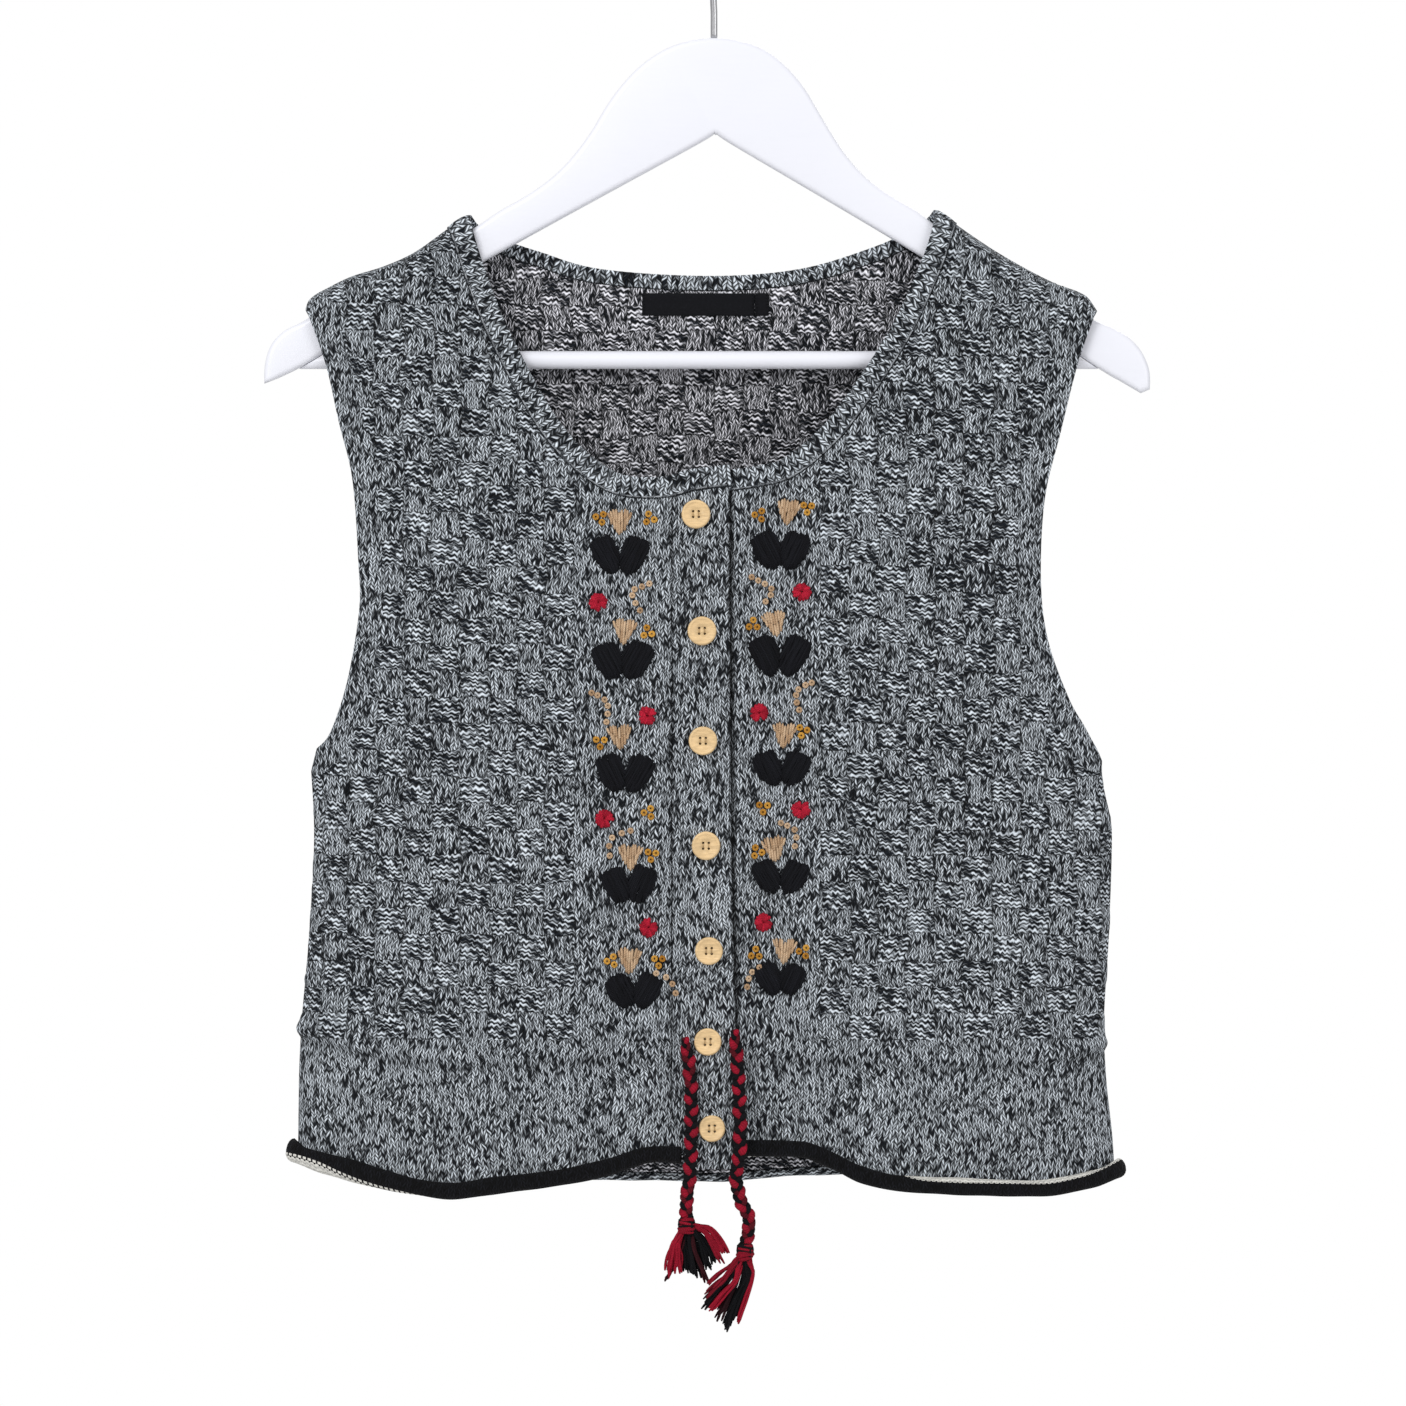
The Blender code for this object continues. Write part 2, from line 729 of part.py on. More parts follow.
def grid_points(face, low, high):
    """Middles and corners of the basket blocks, and points close to the side seams."""
    points = []
    for side in ("left", "right"):
        sign = -1.0 if side == "left" else 1.0
        start = EMBROIDERY_STRIP[side] if face == "front" else 0.0
        row = 1
        z = BASKET_BOTTOM + BLOCK_HEIGHT / 2.0
        while z < crest(0.0):
            far = side_length(z, face, side)
            c = start + (BLOCK_WIDTH / 2.0 if row % 2 else 0.0)
            while c < far - 13.0:
                points.append((sign * c, z))
                c += BLOCK_WIDTH
            if row % 2:
                points.extend((sign * (far - inset), z) for inset in (3.5, 9.0))
            row += 1
            z += BLOCK_HEIGHT / 2.0
    unique = {(round(c, 2), round(z, 2)) for c, z in points}
    return sorted(p for p in unique if low < p[0] < high)


def coarse_points(face, low, high, step, top, bottom):
    """Points at even steps over a panel between two heights, closer at its sides."""
    points = []
    z = top
    while z > bottom:
        for side in ("left", "right"):
            sign = -1.0 if side == "left" else 1.0
            far = side_length(z, face, side)
            points.extend((sign * (far - inset), z) for inset in (3.5, 8.5, 16.0))
            count = int((far - 20.0) / step)
            points.extend((sign * step * (k + 0.5), z) for k in range(count))
        z -= step
    return [p for p in points if low < p[0] < high]


def casing_points(face, low, high):
    """Points on the waist welt and along both its sides."""
    points = []
    for k in range(-17, 18):
        c = 13.0 * k
        welt = read(CASING, x_across(c, -578.0, face))
        points.extend((c, welt + rise) for rise in (CASING_HEIGHT / 2.0, 0.0, -CASING_HEIGHT / 2.0))
    return [p for p in points if low < p[0] < high]


def crest_points(face):
    """Points that round the cloth over the hanger."""
    points = []
    for side in ("left", "right"):
        for c, z, _ in crest_line(face, side)[:-1]:
            points.extend((c, z - drop) for drop in (1.2, 4.0, 9.0, 16.0))
    return points


def clear_of(points, taken, distance):
    """Points that are not close to points already taken."""
    return [p for p in points if all(math.dist(p, q) > distance for q in taken)]


def panel_points(face, low, high):
    """Points within a panel's outer and inner sides."""
    near = [p for p in crest_points(face) if low < p[0] < high]
    welt = casing_points(face, low, high)
    lower = coarse_points(face, low, high, 22.0, -594.0, -640.0)
    strip = []
    if face == "front":
        wide = (c for c in (-59.0, -40.0, 25.0, 41.0) if low < c < high)
        strip = [(c, -310.0 - 19.0 * k) for c in wide for k in range(14)]
    blocks = clear_of(grid_points(face, low, high), near + welt, 4.5)
    outer = near + welt + lower + blocks + strip
    plain = coarse_points(face, low, high, INNER_STEP, -180.0, -640.0)
    inner = near + clear_of(plain, near, 8.0)
    return outer, inner


def front_panel(name, side, material):
    """One front, from the neckband's seam out to the side and down to the hem."""
    sign = -1.0 if side == "left" else 1.0
    seam = BAND_SEAM[side]
    seam_x = read(seam, -300.0)
    neck = [(c, z, "") for c, z, _, x in neck_line("front", side, 7.0, 4.0)
            if sign * (x - seam_x) > 3.0]
    top = seam_height(seam_x, side)
    start = (across(seam_x, top, "front"), top, "")
    side_spots = side_line("front", side)
    end = across(read(seam, -630.0), -630.0, "front")
    hem = hem_line(side_spots[-1][0], ROLL_END[side])[1:]
    if abs(hem[-1] - end) > 2.0:
        hem.append(end)
    hem[-1] = end
    bottom = [(c, hem_height(c, "front") + HEM_CLEARANCE, "") for c in hem]
    rows = [z for z in BAND_ROWS[::-1] if bottom[-1][1] + 2.0 < z < top - 2.0]
    down = [(across(read(seam, z), z, "front"), z, "") for z in rows]
    arm = armhole_line("front", side)
    outline = [start] + neck + crest_line("front", side) + arm + side_spots + bottom + down
    low = -400.0 if side == "left" else start[0]
    high = start[0] if side == "left" else 400.0
    outer, inner = panel_points("front", low, high)
    line = [(c, z) for c, z, _ in arm]
    relief = panel_relief("front", [line[i:i + 2] for i in range(len(line) - 1)])
    wall(name, outline, outer, inner, "front", side, WALL, material, relief)


def back_panel(name, material):
    """The back, in one piece."""
    neck = [(c, z, "") for c, z, _, _ in neck_line("back", "", 9.0, 4.0)]
    right_side = side_line("back", "right")
    left_side = side_line("back", "left")
    hem = hem_line(right_side[-1][0], left_side[-1][0])
    bottom = [(c, hem_height(c, "back") + HEM_CLEARANCE, "") for c in hem[1:-1]]
    arm_left = armhole_line("back", "left")
    arm_right = armhole_line("back", "right")
    outline = neck + crest_line("back", "right") + arm_right + right_side + bottom
    outline += left_side[::-1] + arm_left[::-1] + crest_line("back", "left")[::-1]
    outer, inner = panel_points("back", -400.0, 400.0)
    lines = []
    for arm in (arm_left, arm_right):
        line = [(c, z) for c, z, _ in arm]
        lines += [line[i:i + 2] for i in range(len(line) - 1)]
    wall(name, outline, outer, inner, "back", "", WALL, material, panel_relief("back", lines))


def seam_height(x, side):
    """Height of the neckband's seam on a front at a distance from the middle."""
    seam = [pair[1] for pair in neck_pairs("front", side)]
    for a, b in zip(seam, seam[1:]):
        if min(a[0], b[0]) <= x <= max(a[0], b[0]):
            return a[1] + (b[1] - a[1]) * (x - a[0]) / (b[0] - a[0])
    return seam[0][1]


def button_band(name, piece, edges, bottom, material):
    """A band down the front. edges gives its left and right x at a height."""
    left, right = edges
    steps = 6
    top = []
    for k in range(steps + 1):
        x = right(-300.0) + (left(-300.0) - right(-300.0)) * k / steps
        z = seam_height(x, piece) - GAP
        top.append((across(x, z, "front"), z, ""))
    rows = BAND_ROWS + (bottom,)
    outline = [(across(left(z), z, "front"), z, "") for z in rows]
    outline += [(across(right(z), z, "front"), z, "") for z in rows[::-1]]
    outline += top
    wall(name, outline, [], [], "front", piece, BAND_WALL, material)


def neckband(name, material):
    """Folded rib band round the neck, from one front edge over both shoulders to the other."""
    rails = []
    for face, piece, turn in (("front", "left", 1), ("back", None, 1), ("front", "right", -1)):
        pairs = neck_pairs(face, piece)[::turn]
        for edge, seam in pairs:
            away = Vector(seam) - Vector(edge)
            seam = Vector(edge) + away * (1.0 - NECKBAND_CLEARANCE / away.length)
            rails.append((*on_cloth(edge, face, piece), *on_cloth(seam, face, piece)))
    stations = even(rails, RIB_PITCH / 2.0 * math.sqrt(2.0))
    mesh = bmesh.new()
    rings = []
    count = len(stations)
    for k, row in enumerate(stations):
        before = stations[max(k - 1, 0)]
        after = stations[min(k + 1, count - 1)]
        edge = Vector(row[:3])
        seam = Vector(row[3:])
        tangent = Vector(after[:3]) - Vector(before[:3]) + Vector(after[3:]) - Vector(before[3:])
        out = tangent.cross(seam - edge).normalized()
        half = BAND_WALL / 2.0 + (RIB_RELIEF if k % 2 == 0 else -RIB_RELIEF)
        soft = edge + (seam - edge) * 0.14
        ring = [edge, soft + out * half, seam + out * half, seam - out * half, soft - out * half]
        rings.append([mesh.verts.new(p * MM) for p in ring])
    for a, b in zip(rings, rings[1:]):
        for i in range(5):
            j = (i + 1) % 5
            mesh.faces.new((a[i], a[j], b[j], b[i]))
    mesh.faces.new(rings[0])
    mesh.faces.new(rings[-1][::-1])
    new_object(name, mesh, material)


def hem_roll(name, face, piece, start, end, material):
    """Hem that curls outwards: a wall bent round into a hollow roll."""
    mesh = bmesh.new()
    rings = []
    middle_radius = (ROLL_RADIUS + ROLL_HOLE) / 2.0
    for c in hem_line(start, end):
        z = hem_height(c, face)
        far = side_length(z, face, side_of(c))
        if abs(c) >= far - 0.5:
            kind = "side"
            foot = place((c, z, kind), face, piece, 0.0)
            out = Vector((math.copysign(1.0, c), 0.0, 0.0))
        else:
            foot = place((c, z, ""), face, piece, 0.0)
            out = normal(c, z, face)
            out.z = 0.0
            out.normalize()
        up = Vector((0.0, 0.0, 1.0))
        heart = foot + out * middle_radius
        ring = []
        for radius, turn in ((ROLL_RADIUS, 1), (ROLL_HOLE, -1)):
            for step in range(ROLL_STEPS + 1)[::turn]:
                angle = math.radians(180.0 + ROLL_SWEEP * step / ROLL_STEPS)
                ring.append(heart + out * radius * math.cos(angle) + up * radius * math.sin(angle))
        rings.append([mesh.verts.new(p * MM) for p in ring])
    size = len(rings[0])
    for a, b in zip(rings, rings[1:]):
        for i in range(size):
            j = (i + 1) % size
            mesh.faces.new((a[i], a[j], b[j], b[i]))
    steps = ROLL_STEPS
    for ring in (rings[0], rings[-1]):
        for i in range(steps):
            mesh.faces.new((ring[i], ring[i + 1], ring[size - 2 - i], ring[size - 1 - i]))
    new_object(name, mesh, material)


def button(name, x, z, radius, clearance, material):
    """Turned wooden button with a rim, a dished middle and four holes, on the top band."""
    c = across(x, z, "front")
    back = place((c, z, ""), "front", "left", BAND_WALL / 2.0 + clearance)
    out = normal(c, z, "front")
    across_x = Vector((1.0, 0.0, 0.0))
    up = out.cross(across_x).normalized() * -1.0
    across_x = up.cross(out).normalized() * -1.0
    sides = BUTTON_SIDES
    rim = [(math.cos(2.0 * math.pi * k / sides), math.sin(2.0 * math.pi * k / sides))
           for k in range(sides)]
    holes = []
    for sx, sy in ((1, 1), (-1, 1), (-1, -1), (1, -1)):
        hole = []
        for k in range(BUTTON_HOLE_SIDES):
            angle = 2.0 * math.pi * k / BUTTON_HOLE_SIDES
            hole.append((sx * BUTTON_HOLE_SPREAD + BUTTON_HOLE_RADIUS * math.cos(angle),
                         sy * BUTTON_HOLE_SPREAD + BUTTON_HOLE_RADIUS * math.sin(angle)))
        holes.append(hole)
    mesh = bmesh.new()

    def ring(points, height):
        return [mesh.verts.new((back + across_x * px + up * py + out * height) * MM)
                for px, py in points]

    def scaled(size):
        return [(px * size, py * size) for px, py in rim]

    inner = radius - BUTTON_RIM
    levels = [
        ring(scaled(inner), 0.0),
        ring(scaled(radius - 0.7), 0.0),
        ring(scaled(radius), BUTTON_THICKNESS * 0.4),
        ring(scaled(radius - 0.4), BUTTON_THICKNESS),
        ring(scaled(inner), BUTTON_THICKNESS - BUTTON_DISH),
    ]
    for a, b in zip(levels, levels[1:]):
        for i in range(sides):
            j = (i + 1) % sides
            mesh.faces.new((a[i], a[j], b[j], b[i]))
    flat = scaled(inner) + [p for hole in holes for p in hole]
    loops = [list(range(sides))]
    size = BUTTON_HOLE_SIDES
    edges = [(sides + h * size + k, sides + h * size + (k + 1) % size)
             for h in range(4) for k in range(size)]
    cells = delaunay_2d_cdt([Vector(p) for p in flat], edges, loops, 1, 1e-6)
    origin = [ids[0] for ids in cells[3]]
    hole_levels = []
    for rim_ring, height in ((levels[0], 0.0), (levels[-1], BUTTON_THICKNESS - BUTTON_DISH)):
        hole_rings = [ring(hole, height) for hole in holes]
        hole_levels.append(hole_rings)
        verts = rim_ring + [v for hole_ring in hole_rings for v in hole_ring]
        for cell in cells[2]:
            ids = [origin[i] for i in cell]
            owners = {(i - sides) // size if i >= sides else -1 for i in ids}
            if len(owners) == 1 and -1 not in owners:
                continue
            mesh.faces.new([verts[i] for i in ids])
    for low, high in zip(*hole_levels):
        for k in range(size):
            j = (k + 1) % size
            mesh.faces.new((low[k], low[j], high[j], high[k]))
    new_object(name, mesh, material)


def label(name, left, right, material):
    """Woven label lying on the inside of the back."""
    corners = []
    steps = 4
    for k in range(steps + 1):
        corners.append((left + (right - left) * k / steps, LABEL_BOTTOM))
    for k in range(steps + 1):
        corners.append((right + (left - right) * k / steps, LABEL_TOP))
    outline = [(across(x, z, "back"), z, "") for x, z in corners]
    base = -(WALL / 2.0 + GAP + LABEL_WALL / 2.0)
    wall(name, outline, [], [], "back", "", LABEL_WALL, material, None, base)


def cord_points(side):
    """Centreline of a drawstring end."""
    points = []
    for x, z, out in CORD_ROUTE[side]:
        c = across(x, max(z, -640.0), "front")
        foot = middle(c, max(z, -640.0), "front")
        points.append((x, foot.y - out, z))
    return points


def cord(name, side, material):
    """One free end of the drawstring, a tube along a smooth curve."""
    curve = bpy.data.curves.new(name, "CURVE")
    curve.dimensions = "3D"
    curve.bevel_depth = CORD_DIAMETER / 2.0 * MM
    curve.bevel_resolution = 2
    curve.use_fill_caps = True
    line = spline(cord_points(side), CORD_STEP)
    path = curve.splines.new("POLY")
    path.points.add(len(line) - 1)
    for point, spot in zip(path.points, line):
        point.co = (*(v * MM for v in spot), 1.0)
    curve.materials.append(material)
    obj = bpy.data.objects.new(name, curve)
    bpy.context.scene.collection.objects.link(obj)


def tassel(name, side, material):
    """Knot at the end of the drawstring with its locks hanging apart below it."""
    line = cord_points(side)
    end = Vector(line[-1])
    heart = end - Vector((0.0, 0.0, KNOT_DROP))
    tips = TASSEL_TIPS[side]
    sides = 10
    mesh = bmesh.new()
    rings = []
    for level in KNOT_LEVELS:
        angle = math.radians(level)
        wide = KNOT_RADIUS * math.cos(angle)
        high = KNOT_RADIUS * math.sin(angle)
        rings.append([mesh.verts.new((heart + Vector((
            wide * math.cos(2.0 * math.pi * k / sides),
            wide * math.sin(2.0 * math.pi * k / sides), high))) * MM) for k in range(sides)])
    for a, b in zip(rings, rings[1:]):
        for i in range(sides):
            j = (i + 1) % sides
            mesh.faces.new((a[i], a[j], b[j], b[i]))
    mesh.faces.new(rings[0])
    foot = mesh.verts.new((heart + Vector((0.0, 0.0, -KNOT_RADIUS * 0.8))) * MM)
    wedges = []
    for i in range(sides):
        wedges.append(mesh.faces.new((rings[-1][i], rings[-1][(i + 1) % sides], foot)))
    bmesh.ops.inset_individual(mesh, faces=wedges, thickness=LOCK_SPACING * MM)
    caps = sorted(wedges, key=lambda f: f.calc_center_median().x)
    for cap, tip in zip(caps, tips):
        lock(mesh, cap, heart, Vector(tip))
    new_object(name, mesh, material)


def lock(mesh, cap, heart, tip):
    """Draw one lock out of a face of the knot: it spreads, hangs and narrows to its tip."""
    start = cap.calc_center_median() / MM
    goal = heart + Vector((0.0, 0.0, -KNOT_RADIUS)) + tip
    forms = ((0.2, 1.05), (0.5, 1.45), (0.8, 1.35), (1.0, 0.55))
    face = cap
    before = start
    for share, size in forms:
        reach = start + (goal - start) * share
        reach.x = start.x + (goal.x - start.x) * share ** 1.25
        reach.y = start.y + (goal.y - start.y) * share ** 1.1
        made = bmesh.ops.extrude_discrete_faces(mesh, faces=[face])["faces"]
        face = made[0]
        for vert in face.verts:
            vert.co = vert.co + (reach - before) * MM
        centre = face.calc_center_median()
        target = LOCK_RADIUS * size * MM
        for vert in face.verts:
            ray = vert.co - centre
            vert.co = centre + ray.normalized() * target
        before = reach


def hanger(name, material):
    """Flat wooden body of the hanger with rounded edges."""
    top = spline(HANGER_TOP, 9.0)
    under = spline(HANGER_UNDER, 12.0)
    outline = top + under
    inner = shrink(outline, WOOD_BEVEL)
    loops = (
        (inner, -WOOD_HALF), (outline, -WOOD_HALF + WOOD_BEVEL),
        (outline, WOOD_HALF - WOOD_BEVEL), (inner, WOOD_HALF),
    )
    mesh = bmesh.new()
    rings = [[mesh.verts.new(Vector((x, y, z)) * MM) for x, z in loop] for loop, y in loops]
    count = len(outline)
    for a, b in zip(rings, rings[1:]):
        for i in range(count):
            j = (i + 1) % count
            mesh.faces.new((a[i], a[j], b[j], b[i]))
    for corners in triangles(inner, []):
        mesh.faces.new([rings[0][i] for i in corners])
        mesh.faces.new([rings[-1][i] for i in corners])
    new_object(name, mesh, material)


def shrink(outline, inset):
    """The outline moved inwards, corner by corner."""
    count = len(outline)
    area = sum(outline[i][0] * outline[(i + 1) % count][1]
               - outline[(i + 1) % count][0] * outline[i][1] for i in range(count))
    turn = 1.0 if area > 0.0 else -1.0
    result = []
    for i in range(count):
        before = outline[i - 1]
        here = outline[i]
        after = outline[(i + 1) % count]
        first = Vector((before[1] - here[1], here[0] - before[0])).normalized() * turn
        second = Vector((here[1] - after[1], after[0] - here[0])).normalized() * turn
        bisector = (first + second).normalized()
        size = inset / max(bisector.dot(first), 0.6)
        result.append((here[0] + bisector.x * size, here[1] + bisector.y * size))
    return result


def bar_end(z, side):
    """x where the underside of the wood is at a height, on one arm."""
    rows = sorted((height, x) for x, height in HANGER_UNDER if x * side > 0.0)
    for (z0, x0), (z1, x1) in zip(rows, rows[1:]):
        if z <= z1:
            return x0 + (x1 - x0) * (z - z0) / (z1 - z0)
    raise ValueError(f"the arm has no underside at {z}")


def bar(name, material):
    """Round bar whose slanted ends meet the undersides of the arms."""
    mesh = bmesh.new()
    rings = []
    for side in (-1.0, 1.0):
        ring = []
        for i in range(BAR_SIDES):
            angle = 2.0 * math.pi * i / BAR_SIDES
            y = BAR_RADIUS * math.cos(angle)
            z = BAR_HEIGHT + BAR_RADIUS * math.sin(angle)
            ring.append(mesh.verts.new(Vector((bar_end(z, side) - side * BAR_GAP, y, z)) * MM))
        rings.append(ring)
    low, high = rings
    for i in range(BAR_SIDES):
        j = (i + 1) % BAR_SIDES
        mesh.faces.new((low[i], low[j], high[j], high[i]))
    mesh.faces.new(low)
    mesh.faces.new(high)
    new_object(name, mesh, material)


def rod(name, points, radius, sides, material):
    """Round rod along points in the hanger's plane."""
    mesh = bmesh.new()
    rings = []
    count = len(points)
    for k, (x, z) in enumerate(points):
        before = points[max(k - 1, 0)]
        after = points[min(k + 1, count - 1)]
        along = Vector((after[0] - before[0], 0.0, after[1] - before[1])).normalized()
        side = Vector((0.0, 1.0, 0.0))
        up = along.cross(side)
        ring = []
        for i in range(sides):
            angle = 2.0 * math.pi * i / sides
            ring.append(Vector((x, 0.0, z)) + (side * math.cos(angle) + up * math.sin(angle)) * radius)
        rings.append([mesh.verts.new(p * MM) for p in ring])
    for a, b in zip(rings, rings[1:]):
        for i in range(sides):
            j = (i + 1) % sides
            mesh.faces.new((a[i], a[j], b[j], b[i]))
    mesh.faces.new(rings[0])
    mesh.faces.new(rings[-1])
    new_object(name, mesh, material)


def hook_points():
    """Centreline of the hook: the stem, and the crook round the place that it hangs by."""
    radius = HOOK_RADIUS + WIRE_RADIUS
    points = list(HOOK_STEM)
    low, high = HOOK_ARC
    steps = 16
    for k in range(steps + 1):
        angle = math.radians(low + (high - low) * k / steps)
        points.append((radius * math.cos(angle), -HOOK_RADIUS + radius * math.sin(angle)))
    return points


def build():
    for obj in list(bpy.data.objects):
        bpy.data.objects.remove(obj, do_unlink=True)

    knit = new_material("marled_knit", (0.18, 0.19, 0.20), 0.95)
    rib = new_material("marled_rib", (0.20, 0.21, 0.22), 0.95)
    black_knit = new_material("black_knit", (0.012, 0.012, 0.015), 0.95)
    wood = new_material("button_wood", (0.82, 0.55, 0.27), 0.45)
    woven = new_material("black_woven", (0.01, 0.01, 0.012), 0.7)
    wool = new_material("plaited_wool", (0.25, 0.01, 0.02), 0.95)
    paint = new_material("white_paint", (0.86, 0.87, 0.9), 0.35)
    steel = new_material("hook_steel", (0.45, 0.45, 0.46), 0.3, 1.0)

    front_panel("front_left", "left", knit)
    front_panel("front_right", "right", knit)
    back_panel("back", knit)

    def overlap(z):
        return read(OVERLAP_EDGE, z)

    button_band("buttonhole_band", "left",
                (lambda z: read(BAND_SEAM["left"], z) + GAP, overlap), BAND_BOTTOM["left"], knit)
    button_band("button_band", "right",
                (lambda z: UNDER_BAND_EDGE, lambda z: read(BAND_SEAM["right"], z) - GAP),
                BAND_BOTTOM["right"], knit)
    neckband("neckband", rib)

    left_end = -side_length(-632.0, "front", "left")
    right_end = side_length(-637.0, "front", "right")
    hem_roll("hem_roll_left", "front", "left", left_end, ROLL_END["left"], black_knit)
    hem_roll("hem_roll_right", "front", "right", ROLL_END["right"], right_end, black_knit)
    left_end = -side_length(-632.0, "back", "left")
    right_end = side_length(-637.0, "back", "right")
    hem_roll("hem_roll_back", "back", "", right_end, left_end, black_knit)

    for order, (x, z, radius, clearance) in enumerate(BUTTONS, 1):
        button(f"button_{order}", x, z, radius, clearance, wood)
    for name, left, right in LABELS:
        label(name, left, right, woven)
    for side in ("left", "right"):
        cord(f"drawstring_{side}", side, wool)
        tassel(f"tassel_{side}", side, wool)

    hanger("hanger_body", paint)
    bar("trouser_bar", paint)
    rod("hanger_hook", hook_points(), WIRE_RADIUS, 8, steel)


build()
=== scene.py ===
"""Marled knitted vest on a white wooden hanger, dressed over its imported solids.

Sizes in this file are millimetres unless a name says otherwise. They become metres
where a mesh is made. X runs to the viewer's right, the front faces -Y and Z is up.
"left" and "right" are the viewer's, as seen from the front.
"""
import math
import random
from functools import partial, partialmethod

import bpy
import numpy as np
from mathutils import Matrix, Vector
from mathutils.geometry import delaunay_2d_cdt
from mathutils.kdtree import KDTree


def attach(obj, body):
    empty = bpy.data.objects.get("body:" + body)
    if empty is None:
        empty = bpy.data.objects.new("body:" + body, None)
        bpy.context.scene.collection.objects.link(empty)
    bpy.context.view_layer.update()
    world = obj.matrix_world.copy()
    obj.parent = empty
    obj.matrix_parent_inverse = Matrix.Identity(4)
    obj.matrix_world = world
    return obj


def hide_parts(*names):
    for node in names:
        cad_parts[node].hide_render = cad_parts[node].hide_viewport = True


bl_info = {
    "name": "Knitted vest on a hanger",
    "version": (1, 0, 0),
    "blender": (4, 5, 0),
    "location": "View3D > Sidebar > Vest",
    "description": "Makes the cloth, trims, buttons, cords and hanger of a knitted vest",
    "category": "Object",
}

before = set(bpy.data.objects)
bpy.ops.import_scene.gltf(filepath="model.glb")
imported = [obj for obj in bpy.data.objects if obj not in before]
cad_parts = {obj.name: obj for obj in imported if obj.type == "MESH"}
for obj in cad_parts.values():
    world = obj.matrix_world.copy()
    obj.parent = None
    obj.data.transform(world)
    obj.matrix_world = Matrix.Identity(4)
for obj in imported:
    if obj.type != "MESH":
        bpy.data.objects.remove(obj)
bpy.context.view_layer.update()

MM = 0.001
BODY = "root"
SIGN = {"left": -1.0, "right": 1.0}

# Form of the cloth, as the solids have it
WALL = 2.6
BAND_WALL = 3.0
GAP = 0.3
OVERLAP_LIFT = 1.8
NECKBAND_WIDTH = {"front": 11.0, "back": 7.7}
RIB_PITCH = 4.4
CREST_RADIUS = 9.6
CREST_ROUND = 2.6
HUG_LENGTH = 20.0
FREE_LENGTH = 150.0
SECTION_POWER = 2.4
SECTION_ROUND = 0.55
BACK_ARMHOLE_INSET = 2.0
ROLL_RADIUS = 4.25
ROLL_HOLE = 2.05
ROLL_SWEEP = 274.0
ROLL_END = {"left": -15.9, "right": 14.0}
HEM_CLEARANCE = 0.5
UNDER_BAND_EDGE = -14.0
BAND_BOTTOM = {"left": -636.0, "right": -633.5}
FOLD_TOP = -440.0
FOLD_BOTTOM = -640.0
HEM_LEVEL = -635.0
CASING_LEVEL = -578.0
NECK_CORNER = -300.0
NECK_TURN = 100.0
NECK_REACH = 10
SEAM_FOOT = -630.0

# Knit
BASKET_START = {"left": -69.5, "right": 53.0}
BASKET_BOTTOM = -572.0
BLOCK_STITCHES = 5
BLOCK_ROWS = 6
ARMHOLE_STRIP = 12.5
CASING_RELIEF = 2.1
CASING_HALF = 3.6

# Outline of the vest at each height: half widths and half depths of its section
# (height, left, right, front, back)
SECTIONS = (
    (-655, 209, 201, 38, 33),
    (-625, 208, 199.5, 36, 32),
    (-590, 207.5, 196, 33.5, 30.5),
    (-568, 206.5, 195, 32, 30),
    (-520, 202.5, 197.5, 33, 30),
    (-470, 200, 199, 32, 29),
    (-438, 201.5, 194, 30.5, 28),
    (-380, 208, 199, 28, 25),
    (-300, 212, 203, 22, 20),
    (-210, 214, 204, 13, 13),
    (-150, 215, 205, 10, 10),
)

# Top of the shoulders, from the neck outwards (distance from the middle, height)
SHOULDER = {
    "left": (
        (122, -159.5), (133, -167.5), (151, -180), (166, -186.5), (180.5, -191), (192, -196.5),
        (201.5, -202.5), (203.5, -208),
    ),
    "right": (
        (110.5, -157), (120.5, -165), (144.5, -181), (170, -194.5), (185, -200.5), (191, -208.5),
    ),
}

# Edge of the armhole, from the shoulder down to the underarm (distance, height)
ARMHOLE = {
    "left": (
        (203.5, -208), (194, -235), (187.5, -263.5), (180.5, -293), (177.5, -333), (177, -358),
        (183, -393.5), (191.5, -419), (199, -428.5), (201.5, -438.5),
    ),
    "right": (
        (191, -208.5), (182, -234), (173, -269.5), (165, -303), (163, -343), (166.5, -373),
        (177, -402), (185.5, -417), (193.8, -433),
    ),
}

# Free edge of the neckband, from the front edge up to the shoulder (x, height)
NECK_FRONT = {
    "left": (
        (7.5, -286), (-12, -288.5), (-26.5, -292), (-46, -290.5), (-62, -280.5), (-76, -265.5),
        (-87, -248), (-97, -229), (-106, -210), (-115, -186), (-120.5, -168), (-122, -159.5),
    ),
    "right": (
        (-14, -289.5), (6, -288), (21.5, -286), (35.5, -282), (53, -267.5), (65, -252.5),
        (76.5, -236), (88.5, -216.5), (97, -199), (105, -180), (109.5, -165), (110.5, -157),
    ),
}

# Free edge of the neckband over the back, left shoulder to right (x, height)
NECK_BACK = (
    (-122, -159.5), (-117, -166), (-106, -172), (-87, -178.5), (-57, -187), (-2.5, -190.5),
    (43, -187), (80, -176), (97, -168), (106, -162.5), (110.5, -157),
)

# Middle of the rolled hem along the front and the back (x, height)
HEM = {
    "front": (
        (-215, -628.5), (-206, -630), (-195, -632.2), (-179, -636), (-147, -644.8),
        (-130, -646.8), (-112, -644.4), (-77, -640), (-55.5, -635.6), (-28, -628.5), (-12, -629),
        (15, -625.5), (42, -626), (58.5, -631.4), (73, -638.4), (92, -642.8), (121, -644.4),
        (159, -645.8), (188, -641.6), (198.5, -638), (205, -635.6),
    ),
    "back": (
        (-215, -628.5), (-206, -630), (-150, -641), (-80, -640), (-28, -641), (0, -641.5),
        (40, -638.5), (90, -637), (150, -641), (198.5, -638), (205, -635.6),
    ),
}

